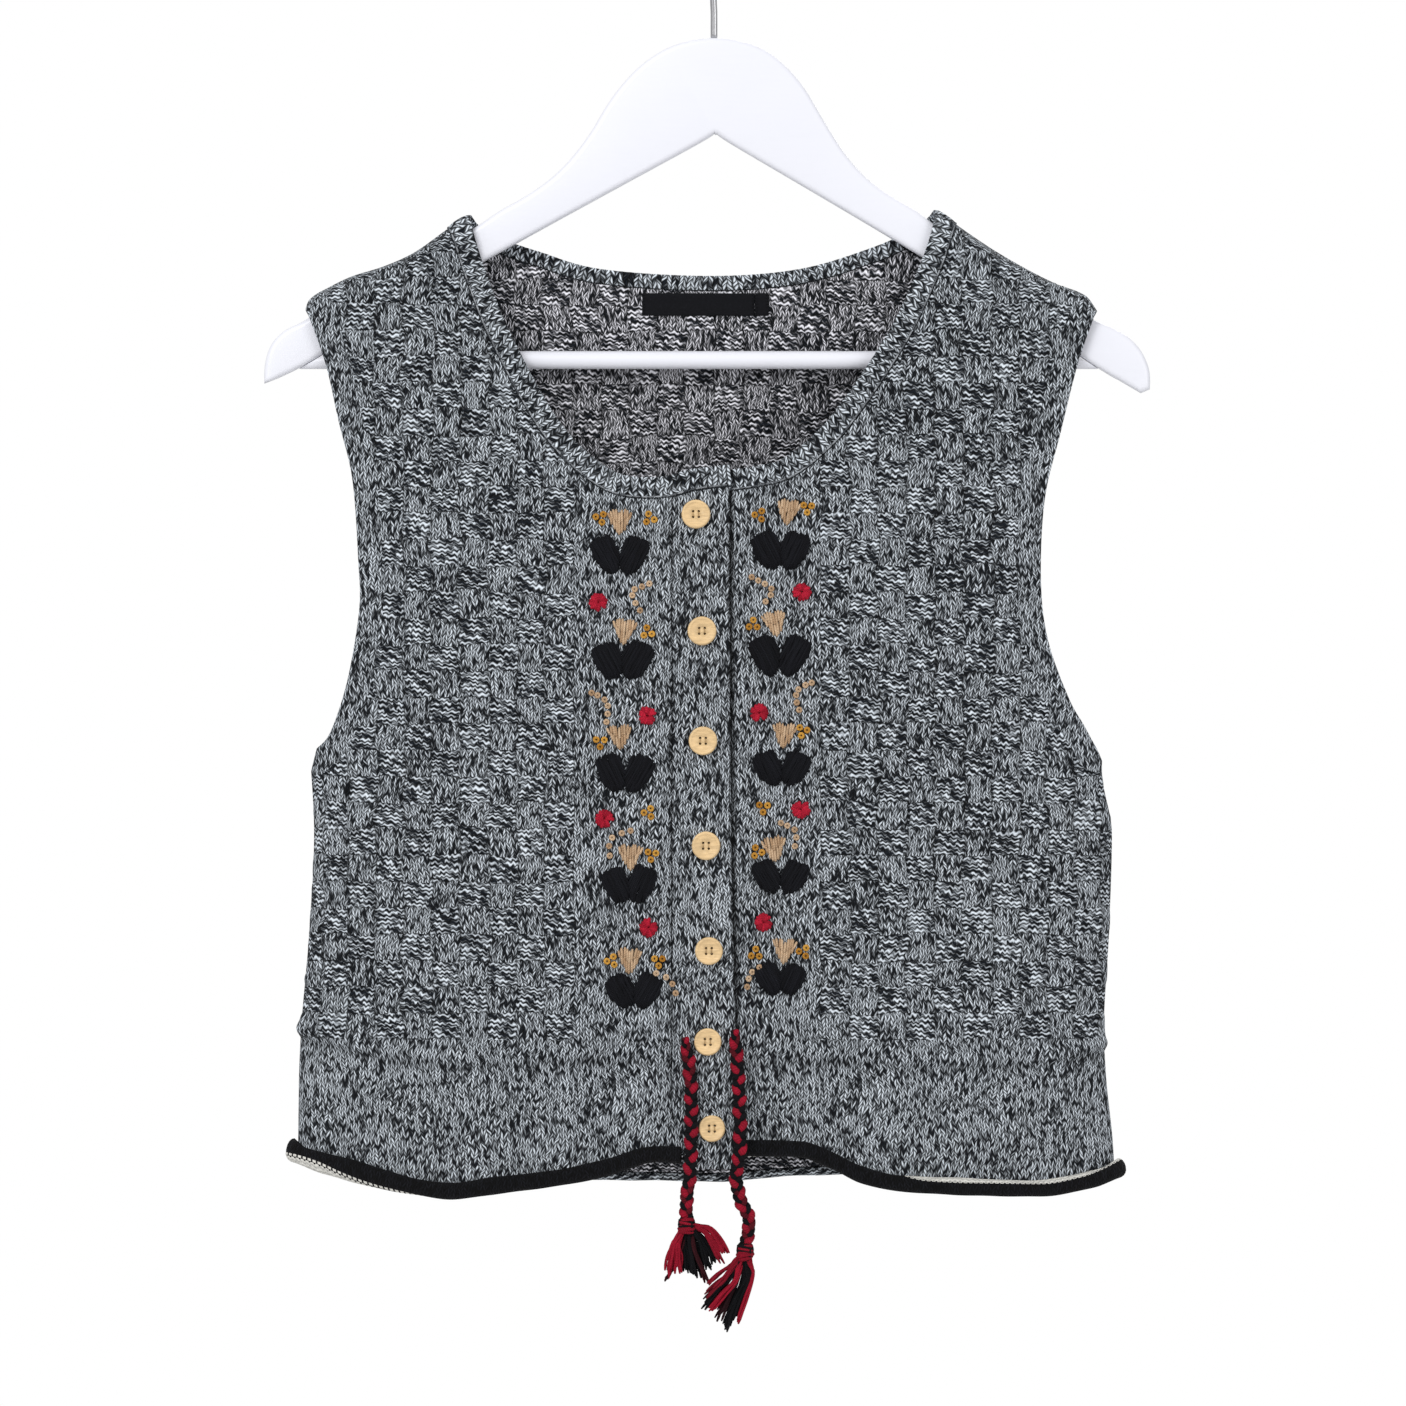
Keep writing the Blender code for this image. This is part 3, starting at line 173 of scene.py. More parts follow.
# Soft folds: how far the cloth stands out or in at the hem (x, front, back)
HEM_FOLDS = (
    (-215, 0, 0),
    (-140, 5, 3),
    (-80, 1.5, -2.5),
    (-30, -3, 2),
    (0, -1, 3),
    (35, -3.5, 0),
    (100, 4, -3),
    (160, 4.5, 3),
    (205, 0, 0),
)

# Waist casing, the welt that the drawstring runs in (x, height)
CASING = (
    (-210, -567), (-189, -572), (-169, -577), (-145, -580), (-117, -581), (-57, -579),
    (0, -579.5), (73, -580), (105, -582), (143, -582), (175, -579), (200, -574),
)

# Edge of the top band down the front (height, x)
OVERLAP_EDGE = (
    (-640, 10.5), (-568, 10.5), (-503, 9), (-400, 8), (-280, 7.5),
)

# Seam between each front and its band (height, x)
BAND_SEAM = {
    "left": (
        (-640, -15.5), (-622, -15.5), (-604, -21), (-280, -21),
    ),
    "right": (
        (-640, 6.5), (-280, 6.5),
    ),
}

# Buttons (x, height, radius, distance from the curved band under them)
BUTTONS = (
    (-9, -311, 7.2, 0.19),
    (-6, -369, 7.2, 0.27),
    (-5.5, -423.5, 7.1, 0.29),
    (-4, -475.5, 7.1, 0.17),
    (-2.5, -527.5, 6.9, -0.08),
    (-3, -573, 6.8, 0.02),
    (-1, -616, 6.6, -0.43),
)

# Labels on the inside of the back (name, left edge, right edge)
LABELS = (
    ("label", -36.0, 20.3),
    ("size_tab", 20.6, 27.5),
)

# Drawstring ends (x, height, distance of the centreline from the cloth's middle)
CORD_ROUTE = {
    "left": (
        (-14.6, -571, 6.7), (-13.4, -578, 6.7), (-11.9, -588, 6.8), (-11.2, -607, 6.8),
        (-11.4, -620, 6.9), (-11.6, -630, 7.2), (-12.2, -640, 8), (-13.6, -650, 8),
        (-13.6, -659.6, 7.5),
    ),
    "right": (
        (10.2, -567, 6.8), (11, -577, 6.9), (12, -590, 7), (12.6, -604, 8.2), (12.9, -616, 9.8),
        (12.7, -628, 10.4), (10.8, -638.5, 10.2), (12.9, -650, 9.2), (17.2, -660, 8.4),
        (16.8, -668, 8), (15.4, -672.4, 8),
    ),
}

# Outline of the wooden hanger, round from the left tip over the head (x, height)
HANGER_TOP = (
    (-224.8, -244.8), (-224.9, -238.1), (-223.7, -231), (-221.2, -225), (-217.2, -220.3),
    (-212.9, -217.2), (-205.1, -213.4), (-192, -204.6), (-180.5, -197.7), (-166, -192.5),
    (-151, -186.8), (-133, -175), (-118.5, -166), (-106.5, -158), (-97.5, -153), (-88.5, -147.3),
    (-79.5, -140.3), (-70.5, -131), (-61.5, -118.8), (-54.8, -107.5), (-48, -97.8), (-39, -87.8),
    (-30, -80.8), (-21, -76), (-10.5, -73), (0, -72), (10.5, -73), (21, -76), (30, -81),
    (39, -89.3), (46.5, -99), (55.5, -114.3), (64.5, -128.5), (73.5, -139.2), (82.5, -147),
    (91.5, -152.8), (100.5, -158), (109, -164.3), (120.5, -172), (133, -180.7), (144.5, -188),
    (170, -201.3), (182, -208.2), (191.3, -213.6), (199.5, -217), (206.7, -221.2), (211, -225.2),
    (214.4, -229.8), (217.3, -236.7), (218.1, -242.5), (217.9, -247.7),
)
HANGER_UNDER = (
    (213.4, -249.6), (202.4, -243.2), (188.6, -235), (104.5, -182), (12, -127.2), (0.5, -120.5),
    (-11, -126.8), (-115, -183.9), (-196.8, -231.2), (-208.3, -237.6), (-218, -242.2),
)

# Hook of round wire, from the wood up and round its crook (x, height)
HOOK_STEM = ((0.0, -71.7), (0.0, -60.0), (0.0, -50.0), (3.5, -43.0), (9.5, -36.5))
HOOK_ARC = (-38.0, 205.0)

# Soft ridges and troughs of the hanging cloth (x, height, lean in degrees, length, width, rise)
CREASES = {
    "front": (
        (-150, -430, 62, 42, 11, -1.6),
        (-128, -455, 58, 46, 13, 1.3),
        (150, -425, -60, 40, 11, -1.5),
        (124, -452, -56, 46, 13, 1.2),
        (-150, -300, -6, 60, 16, 1.2),
        (140, -300, 8, 60, 15, 1.3),
        (-100, -520, 8, 60, 20, -1),
        (105, -515, -8, 62, 20, -1),
        (-60, -610, 4, 38, 14, 1),
        (60, -600, -6, 38, 14, 1.2),
    ),
    "back": (
        (-140, -440, 60, 46, 12, -1.5),
        (140, -436, -60, 46, 12, -1.5),
        (-60, -380, 10, 80, 22, 1.4),
        (45, -420, -8, 90, 24, -1.2),
        (95, -540, 6, 70, 20, 1.3),
        (-100, -560, -7, 60, 20, -1.2),
        (0, -600, 0, 50, 18, 1.1),
    ),
}

# More of the solids' sizes
BUTTON_RIM = 1.4
LABEL_WALL = 0.8
LABEL_TOP = -199.2
LABEL_BOTTOM = -210.5
WOOD_HALF = 6.0
BAR_RADIUS = 4.5
BAR_HEIGHT = -233.0
BAR_GAP = 0.7
HOOK_RADIUS = 17.0
WIRE_RADIUS = 1.7
HEM_ENDS = {"left": -632.0, "right": -637.0}
HOLE_SPREAD = 1.4
HOLE_RADIUS = 0.62
WOOD_BEVEL = 2.9

# Stitches and mesh steps
STITCH = 2.85
ROW = 13.1 / 6.0
EDGE_STEP = 1.5
NECK_STEP = 0.72
CHAIN_PITCH = 3.3
SIDE_SEAM_RADIUS = 0.45
HEM_STEP = 1.9
ROLL_SIDES = 14
PLAIT_PITCH = 11.6
PLAIT_WIDE = 1.85
PLAIT_DEEP = 1.05
PROBE = 0.6
MARLED_TO = 285.0
LABEL_ROWS = 14
WOOD_STEP = 2.2
BAND_POINTS = 22
BUTTON_SIDES = 48
HOLE_SIDES = 12
WOOD_ANGLES = (90.0, 67.0, 45.0, 22.0, 0.0, -22.0, -45.0, -67.0, -90.0)

# Marks of the points on a side seam and on the shoulders' crest
SIDE = 1
CREST = 2

# Rounded edges of the cloth, and its place in the map for baked pictures
RIM_ANGLES = (50.0, 0.0, -50.0)
RIM_BAKE = 0.8
BAKE_MARGIN = 4.0
BAKE_SHARE = 0.64

# Line on the rolled hem past which its off-white back shows (x, height)
PALE_LINE = {
    "left": (
        (-215, -628.5), (-208, -629.5), (-197, -632.7), (-187, -637), (-177, -640.8),
        (-167, -643.8), (-157, -646.2), (-147, -648.4), (-137, -650.2), (-125, -651.6),
        (-107, -650.6),
    ),
    "right": (
        (12, -629), (22, -629.4), (32, -630.2), (43, -631), (52, -640), (60, -625), (98, -640.2),
        (106, -641.6), (123, -642.6), (143, -643.1), (163, -643.6), (183, -640.6), (193, -637.4),
        (205, -632),
    ),
}

# Strands of the tassels, from the knot over a bend to the tip
# (bend, tip, strands, spread, share of red)
TASSEL_BUNDLES = {
    "left": (
        ((-1, 1, -9), (0.5, 1, -22.5), 13, 1.2, 0),
        ((1.5, 0, -10), (3.5, 0, -24), 15, 1.2, 0),
        ((4.5, 1.5, -9.5), (7, 1.5, -25), 15, 1.2, 0),
        ((7, 0, -8.5), (10.5, 0.5, -22), 14, 1.2, 0),
        ((9, 1, -7.5), (14, 1, -18.5), 13, 1, 0),
        ((3.5, -1.5, -12), (9.5, -1, -28.5), 4, 1.2, 0.1),
        ((-4.5, 0, -17), (-11, 0, -27.5), 4, 0.7, 0.1),
        ((-6.4, -1, -9.5), (-9.5, -1, -23.5), 11, 0.9, 1),
        ((-4.4, -1.5, -10), (-4, -1.5, -23.5), 11, 0.9, 1),
        ((11.5, -1, -1.4), (19, -1, -13.5), 10, 0.9, 1),
        ((9.5, -1.5, -3.6), (17, -1.5, -18), 11, 0.9, 0.9),
    ),
    "right": (
        ((-1, -0.5, -14), (-9.5, -0.5, -37.5), 15, 1.2, 0),
        ((1.5, -1.5, -14), (-6, -1, -34), 14, 1.1, 0),
        ((-4, -1, -12.5), (-12.5, -0.5, -33), 12, 1.2, 0.05),
        ((-6, -1.5, -11.5), (-19, -1.5, -28.5), 13, 1.1, 0),
        ((-8, -2.5, -11), (-19.5, -2.5, -23.5), 8, 1.1, 0.5),
        ((-5, -3.5, -14.5), (-17, -3.5, -30), 10, 0.9, 1),
        ((-7, -3, -7.5), (-16, -3, -18.5), 7, 0.8, 0.7),
        ((4, -1.5, -11.5), (-3.5, -2, -35.5), 9, 0.6, 1),
    ),
}

# Studio: its floor in millimetres, its lamps and its camera in metres
STUDIO_LIGHT = (0.62, 0.62, 0.63)
FLOOR_HEIGHT = -800.0
FLOOR_RADIUS = 500.0
FLOOR_SIDES = 96
LAMPS = (
    ("Key light", (-1.6, -2.6, 1.4), (1.6, 1.6), 60.0),
    ("Fill light", (2.2, -2.4, 0.2), (1.6, 1.6), 22.0),
    ("Rear light", (0.6, 2.6, 1.2), (1.8, 1.8), 40.0),
)
LAMP_AIM = (0.0, 0.0, -0.42)
CAMERA_SPOT = (-0.0055, -5.0, -0.4045)
CAMERA_LENS = 256.0
CAMERA_SENSOR = 36.0

# Embroidery: flowers (x, height, lean in degrees), leaf pairs (x, height, width, height over all),
# red flowers, clusters of three knots, and rows of knots (first, bend and last spot, knots)
TULIPS = (
    (-47, -314, 0), (-44.5, -368.5, 6), (-47, -421, -4), (-41.5, -480.5, 0), (-42, -532, 3),
    (37, -309, 8), (30, -364.5, -10), (35, -420, 6), (30, -476.5, -8), (35, -527, 4),
)
LEAVES = (
    (-46.8, -331.2, 29.5, 19.5), (-45.8, -383.5, 33.5, 19), (-44.5, -440, 30, 19),
    (-41.8, -495.2, 29.5, 18.5), (-40, -547.5, 29, 18), (33.2, -328.8, 31.5, 19.5),
    (32.5, -381.2, 31, 20.5), (33.5, -437.2, 30, 17.5), (33, -490.8, 29, 17.5),
    (33.5, -541.8, 28, 16.5),
)
ROSETTES = (
    (-57.5, -354.5), (-33, -411), (-54.5, -462), (-32.5, -516), (43.5, -349.5), (22.5, -409.5),
    (43, -457.5), (24.5, -513.5),
)
KNOT_CLUSTERS = (
    (-56.5, -312.5), (-32, -313), (-33, -369.5), (-56.5, -424), (-32.5, -459), (-31, -480),
    (-51, -532.5), (-27.5, -532.5), (22.5, -311), (46.5, -307.5), (19.5, -365.5), (44, -418.5),
    (24.5, -456.5), (21.5, -478.5), (20.5, -529), (44.5, -528),
)
KNOT_ROWS = (
    (-32, -345.5, -41, -349.5, -37, -358.5, 6), (-61, -399.5, -53.5, -404, -53, -414, 6),
    (-41.5, -468, -51, -472, -52, -480.5, 5), (-28.5, -538.5, -21.5, -542, -19, -548.5, 4),
    (18.5, -342, 29, -348, 25.5, -354, 6), (48.5, -394.5, 41, -399, 42, -408, 6),
    (33, -464, 40.5, -468, 40, -475.5, 5), (22.5, -536, 18, -539, 16.5, -545.5, 4),
)


def read(table, key, column=1):
    """Values of a column of a table at keys, on a smooth curve that keeps the rows' peaks."""
    rows = np.array(sorted(table), float)
    keys = rows[:, 0]
    values = rows[:, column]
    slopes = np.diff(values) / np.diff(keys)
    product = slopes[:-1] * slopes[1:]
    total = np.where(product > 0.0, slopes[:-1] + slopes[1:], 1.0)
    between = np.where(product > 0.0, 2.0 * product / total, 0.0)
    tangents = np.concatenate((slopes[:1], between, slopes[-1:]))
    key = np.clip(np.asarray(key, float), keys[0], keys[-1])
    i = np.clip(np.searchsorted(keys, key, side="right") - 1, 0, len(keys) - 2)
    span = keys[i + 1] - keys[i]
    t = (key - keys[i]) / span
    return (
        values[i] * (1.0 + 2.0 * t) * (1.0 - t) ** 2
        + tangents[i] * span * t * (1.0 - t) ** 2
        + values[i + 1] * t * t * (3.0 - 2.0 * t)
        + tangents[i + 1] * span * t * t * (t - 1.0)
    )


def smoothstep(value, low, high):
    """0 below low, 1 above high and a soft rise between."""
    t = np.clip((value - low) / (high - low), 0.0, 1.0)
    return t * t * (3.0 - 2.0 * t)


def unit(vectors):
    """Rows of an array at length 1."""
    return vectors / np.maximum(np.linalg.norm(vectors, axis=-1, keepdims=True), 1e-9)


def lengths_along(line):
    """Length of a line up to each of its points."""
    return np.concatenate(([0.0], np.cumsum(np.linalg.norm(np.diff(line, axis=0), axis=1))))


def spans(line):
    """From the point before to the point after, for each point of an open line."""
    return np.vstack((line[1:], line[-1:])) - np.vstack((line[:1], line[:-1]))


def even(points, step):
    """A line of points read again at even steps of length."""
    line = np.asarray(points, float)
    lengths = lengths_along(line)
    count = max(1, round(lengths[-1] / step))
    goals = np.linspace(0.0, lengths[-1], count + 1)
    return np.column_stack([np.interp(goals, lengths, column) for column in line.T])


def spline(points, step):
    """Points at even steps on a smooth curve through the given points."""
    p = np.array(points, float)
    q = np.vstack((p[:1], p, p[-1:]))
    t = np.linspace(0.0, 1.0, 16, endpoint=False)[:, None]
    parts = [
        0.5 * (2.0 * b + (c - a) * t + (2.0 * a - 5.0 * b + 4.0 * c - d) * t ** 2
               + (3.0 * b - a - 3.0 * c + d) * t ** 3)
        for a, b, c, d in zip(q, q[1:], q[2:], q[3:])
    ]
    return even(np.vstack(parts + [p[-1:]]), step)


def circle(count, radius):
    """Points round a circle."""
    turns = [math.tau * k / count for k in range(count)]
    return [(radius * math.cos(turn), radius * math.sin(turn)) for turn in turns]


def area_within(outline):
    """Area of an outline, negative where it runs clockwise."""
    after = np.roll(outline, -1, axis=0)
    return np.sum(outline[:, 0] * after[:, 1] - after[:, 0] * outline[:, 1]) / 2.0


def inward_from(outline):
    """Inward directions at the points of an outline that runs anticlockwise."""
    along = unit(np.roll(outline, -1, axis=0) - np.roll(outline, 1, axis=0))
    return np.column_stack((-along[:, 1], along[:, 0]))


def quads(rings, size, start=0):
    """Faces between closed rings of points that are numbered ring after ring."""
    return [(a + i, a + (i + 1) % size, a + (i + 1) % size + size, a + i + size)
            for a in range(start, start + (rings - 1) * size, size) for i in range(size)]


def end_faces(rings, size):
    """Faces that close the first and the last of such rings."""
    return [tuple(range(size))[::-1], tuple(range((rings - 1) * size, rings * size))]


def by_ring(rows):
    """Points numbered ring after ring, from rows that hold one point of each ring."""
    return np.stack(rows, 1).reshape(-1, rows[0].shape[-1])


def half_width(z, x):
    """Half width of the section at the middle of the cloth's wall."""
    return np.where(x < 0.0, read(SECTIONS, z, 1), read(SECTIONS, z, 2)) - WALL / 2.0


def crest(x):
    """Height of the cloth's middle over the hanger."""
    left = read(SHOULDER["left"], np.abs(x))
    right = read(SHOULDER["right"], np.abs(x))
    return np.where(np.asarray(x) < 0.0, left, right) - WALL / 2.0


def plain_depth(x, z, face):
    """Half depth of the section before the shoulder draws it in."""
    share = np.minimum(np.abs(x) / half_width(z, x), 1.0)
    deep = read(SECTIONS, z, 3 if face == "front" else 4)
    return deep * (1.0 - share ** SECTION_POWER) ** SECTION_ROUND


def depth(x, z, face):
    """Distance of the cloth's middle from the hanger's plane."""
    drop = np.maximum(crest(x) - z, 0.0)
    reach = np.minimum(drop / CREST_RADIUS, 1.0)
    near = CREST_RADIUS * (1.0 - (1.0 - reach) ** CREST_ROUND) ** (1.0 / CREST_ROUND)
    share = smoothstep(drop, HUG_LENGTH, FREE_LENGTH)
    fold = read(HEM_FOLDS, x, 1 if face == "front" else 2)
    edge = np.minimum(np.abs(x) / half_width(z, x), 1.0)
    fold = fold * smoothstep(-z, -FOLD_TOP, -FOLD_BOTTOM) * (1.0 - edge ** 6)
    return near * (1.0 - share) + (plain_depth(x, z, face) + fold) * share


GIRTH_HEIGHTS = np.arange(-668.0, -148.0, 1.0)


def girth_table(face, sign):
    """x and lengths round the plain section at each height, from the middle to the side."""
    shares = np.sin(np.linspace(0.0, math.pi / 2.0, 41))
    heights = GIRTH_HEIGHTS[:, None] + 0.0 * shares[None, :]
    x = half_width(heights, sign) * shares[None, :]
    y = plain_depth(sign * x, heights, face)
    steps = np.hypot(np.diff(x, axis=1), np.diff(y, axis=1))
    lengths = np.concatenate((np.zeros((len(x), 1)), np.cumsum(steps, axis=1)), axis=1)
    return x, lengths


GIRTH = {(face, sign): girth_table(face, sign) for face in ("front", "back") for sign in (-1, 1)}


def look_up(goal, z, face, to_length):
    """Turn x into a length round the section or a length into x, for both sides at once."""
    goal = np.atleast_1d(np.asarray(goal, float))
    z = np.broadcast_to(np.asarray(z, float), goal.shape)
    result = np.zeros(goal.shape)
    for sign in (-1, 1):
        chosen = (goal < 0.0) == (sign < 0)
        if not chosen.any():
            continue
        x, lengths = GIRTH[face, sign]
        row = np.clip(z[chosen] - GIRTH_HEIGHTS[0], 0.0, len(GIRTH_HEIGHTS) - 1.001)
        low = row.astype(int)
        part = (row - low)[:, None]
        x = x[low] * (1.0 - part) + x[low + 1] * part
        lengths = lengths[low] * (1.0 - part) + lengths[low + 1] * part
        source, target = (x, lengths) if to_length else (lengths, x)
        size = np.abs(goal[chosen])
        i = np.clip((source < size[:, None]).sum(1), 1, source.shape[1] - 1)
        n = np.arange(len(i))
        t = np.minimum((size - source[n, i - 1]) / (source[n, i] - source[n, i - 1]), 1.0)
        result[chosen] = sign * (target[n, i - 1] + (target[n, i] - target[n, i - 1]) * t)
    return result


def across(x, z, face):
    """Length round the section from the middle to x, negative on the left."""
    return look_up(x, z, face, True)


def x_across(c, z, face):
    """x at a length round the section."""
    return look_up(c, z, face, False)


def side_length(z, face, sign):
    """Length round the section from the middle to the side seam."""
    return np.interp(z, GIRTH_HEIGHTS, GIRTH[face, sign][1][:, -1])


def creases(x, z, face):
    """Soft ridges and troughs laid over the plain form."""
    total = np.zeros(np.shape(x))
    for centre_x, centre_z, lean, long, wide, high in CREASES[face]:
        turn = math.radians(lean)
        along = (x - centre_x) * math.sin(turn) + (z - centre_z) * math.cos(turn)
        aside = (x - centre_x) * math.cos(turn) - (z - centre_z) * math.sin(turn)
        total += high * np.exp(-(along / long) ** 2 - (aside / wide) ** 2)
    return total


def middle(c, z, face):
    """Points of the cloth's middle at lengths round the section and heights."""
    x = x_across(c, z, face)
    y = depth(x, z, face)
    return np.column_stack((x, -y if face == "front" else y, z))


def far_length(c, z, face):
    """Length to the side seam on the side that each point lies on."""
    return np.where(c < 0.0, side_length(z, face, -1), side_length(z, face, 1))


def frame_on(c, z, face):
    """Points of the cloth's middle and its outward directions."""
    c = np.atleast_1d(np.asarray(c, float))
    z = np.broadcast_to(np.asarray(z, float), c.shape)
    far = far_length(c, z, face)
    low = middle(np.maximum(c - PROBE, -far), z, face)
    high = middle(np.minimum(c + PROBE, far), z, face)
    point = middle(c, z, face)
    top = np.minimum(z + PROBE, crest(point[:, 0]))
    up = middle(c, top, face) - middle(c, z - PROBE, face)
    out = unit(np.cross(unit(high - low), up) * (1.0 if face == "front" else -1.0))
    return point, out


def lift(c, piece):
    """How far a front stands out or in where the two fronts lap."""
    if piece == "left":
        return OVERLAP_LIFT * smoothstep(c, -52.0, -20.0)
    if piece == "right":
        return -OVERLAP_LIFT * (1.0 - smoothstep(c, 12.0, 46.0))
    return 0.0 * c


def on_cloth(c, z, face, piece, out):
    """Points of the cloth at distances out from its middle."""
    point, away = frame_on(c, z, face)
    raised = out + lift(c, piece) + creases(point[:, 0], z, face)
    return point + away * raised[:, None]


def place(c, z, kinds, face, piece, out):
    """Points of the cloth, with the side and shoulder seams where the panels meet."""
    out = np.broadcast_to(np.asarray(out, float), c.shape)
    result = on_cloth(c, z, face, piece, out)
    gap = GAP / 2.0 if face == "back" else -GAP / 2.0
    side = kinds == SIDE
    if side.any():
        sign = np.sign(c[side])
        result[side, 0] = sign * (half_width(z[side], c[side]) + out[side])
        result[side, 1] = gap
        result[side, 2] = z[side]
    top = kinds == CREST
    if top.any():
        x = x_across(c[top], z[top], face)
        slope = crest(x + 0.5) - crest(x - 0.5)
        up = unit(np.column_stack((-slope, np.zeros(len(x)), np.ones(len(x)))))
        base = np.column_stack((x, np.full(len(x), gap), crest(x)))
        result[top] = base + up * out[top, None]
    return result


def within(points, outline):
    """Whether each point is inside an outline."""
    result = np.zeros(len(points), bool)
    x0, z0 = outline.T
    x1, z1 = np.roll(outline, -1, axis=0).T
    rise = np.where(z1 == z0, 1.0, z1 - z0)
    for start in range(0, len(points), 4000):
        x, z = points[start:start + 4000].T[:, :, None]
        spans = (z0 > z) != (z1 > z)
        left = x < (x1 - x0) * (z - z0) / rise + x0
        result[start:start + 4000] = (spans & left).sum(1) % 2 == 1
    return result


def distances(points, line):
    """Distance from each point to the nearest of a line's points."""
    tree = KDTree(len(line))
    for i, (x, z) in enumerate(line):
        tree.insert((x, z, 0.0), i)
    tree.balance()
    return np.array([tree.find((x, z, 0.0))[2] for x, z in points])


def fill(outline, step, origin):
    """An even grid of squares over an outline, joined to it by triangles.

    Returns the grid's points and faces. A face's numbers count the outline first.
    """
    low = outline.min(0)
    high = outline.max(0)
    lines = [
        origin[k] + step[k] * np.arange(math.ceil((low[k] - origin[k]) / step[k]),
                                        math.floor((high[k] - origin[k]) / step[k]) + 1)
        for k in (0, 1)
    ]
    c, z = np.meshgrid(*lines, indexing="ij")
    points = np.column_stack((c.ravel(), z.ravel()))
    inside = within(points, outline)
    near = distances(points[inside], outline)
    inside[np.flatnonzero(inside)[near < 0.62 * max(step)]] = False
    kept = inside.reshape(c.shape)
    cells = kept[:-1, :-1] & kept[1:, :-1] & kept[:-1, 1:] & kept[1:, 1:]
    framed = np.pad(cells, 1)
    around = (framed[:-1, :-1].astype(int) + framed[1:, :-1] + framed[:-1, 1:] + framed[1:, 1:])
    count = len(outline)
    number = np.full(c.shape, -1)
    number[kept] = count + np.arange(kept.sum())
    squares = (number[:-1, :-1], number[1:, :-1], number[1:, 1:], number[:-1, 1:])
    loose = kept & (around < 4)
    local = np.full(c.shape, -1)
    local[loose] = count + np.arange(loose.sum())
    rows = framed[1:-1, :-1] != framed[1:-1, 1:]
    columns = framed[:-1, 1:-1] != framed[1:, 1:-1]
    edges = [(int(local[i, j]), int(local[i + 1, j])) for i, j in zip(*np.nonzero(rows))]
    edges += [(int(local[i, j]), int(local[i, j + 1])) for i, j in zip(*np.nonzero(columns))]
    flat = [Vector(p) for p in outline] + [Vector(p) for p in np.column_stack((c[loose], z[loose]))]
    made = delaunay_2d_cdt(flat, edges, [list(range(count))], 1, 1e-5)
    own = [ids[0] for ids in made[3]]
    whole = np.concatenate((np.arange(count), number[loose]))
    faces = [tuple(q) for q in np.stack(squares, -1)[cells].tolist()]
    for corners in made[2]:
        heart = sum((made[0][i] for i in corners), Vector((0.0, 0.0))) / len(corners)
        i = math.floor((heart.x - lines[0][0]) / step[0])
        j = math.floor((heart.y - lines[1][0]) / step[1])
        if 0 <= i < cells.shape[0] and 0 <= j < cells.shape[1] and cells[i, j]:
            continue
        faces.append(tuple(int(whole[own[n]]) for n in corners))
    return np.column_stack((c[kept], z[kept])), faces


def make_piece(name, verts, faces, material, node, maps=None, marks=None):
    """Make a mesh of points in millimetres that rides on the frame and stands for a CAD node.

    maps holds UV maps, by point or by corner. marks holds a number for each point.
    """
    data = bpy.data.meshes.new(name)
    data.from_pydata((np.asarray(verts) * MM).tolist(), [], faces)
    corners = np.zeros(len(data.loops), int)
    data.loops.foreach_get("vertex_index", corners)
    for label, values in (maps or {}).items():
        layer = data.uv_layers.new(name=label)
        values = np.asarray(values, float)
        chosen = values if len(values) == len(corners) else values[corners]
        layer.data.foreach_set("uv", chosen.ravel())
    for label, values in (marks or {}).items():
        mark = data.attributes.new(label, "FLOAT", "POINT")
        mark.data.foreach_set("value", np.asarray(values, float))
    data.polygons.foreach_set("use_smooth", [True] * len(data.polygons))
    data.materials.append(material)
    data.validate()
    data.update()
    obj = bpy.data.objects.new(name, data)
    bpy.context.scene.collection.objects.link(obj)
    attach(obj, BODY)
    if node:
        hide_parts(node)
    return obj


def note_cut(obj, wide, long, area):
    """Note the size of the flat cloth on its piece."""
    obj["cut"] = (wide * MM, long * MM, area * MM * MM)


def above_casing(c, z, face):
    """Height above the middle of the casing's welt."""
    x = x_across(c, np.full(len(c), CASING_LEVEL), face)
    return z - read(CASING, x) - 1.0


def slit_shadow(spots, face, piece, name):
    """Painted shadow on the cloth beside the top band's edge, along its seam and by the casing."""
    c, z = spots.T
    welt = above_casing(c, z, face)
    # Painted shadow under the casing's welt, fainter above it
    casing = 0.32 * np.exp(-((welt + 5.2) / 2.2) ** 2) + 0.14 * np.exp(-((welt - 5.6) / 2.0) ** 2)
    casing = 0.0 if "band" in name else casing
    if face == "back":
        return casing
    seam = across(read(BAND_SEAM["left"], z), z, "front")
    edge = across(read(OVERLAP_EDGE, z), z, "front")
    if piece == "left":
        # Painted shade along the top band's seam, and on the band's own rounded edge
        beside = 0.5 * np.exp(-((c - seam) / 1.1) ** 2) * smoothstep(z, -606.0, -598.0)
        hem = 0.6 * smoothstep(c, edge - 1.6, edge) if "band" in name else casing
        return np.minimum(beside + hem, 1.0)
    # Painted shadow on the right front beside the top band's edge, under the lap
    lapped = np.where(c > edge - 1.0, 1.0 - smoothstep(c, edge + 0.9, edge + 3.2), 0.8)
    return np.maximum(lapped, casing)


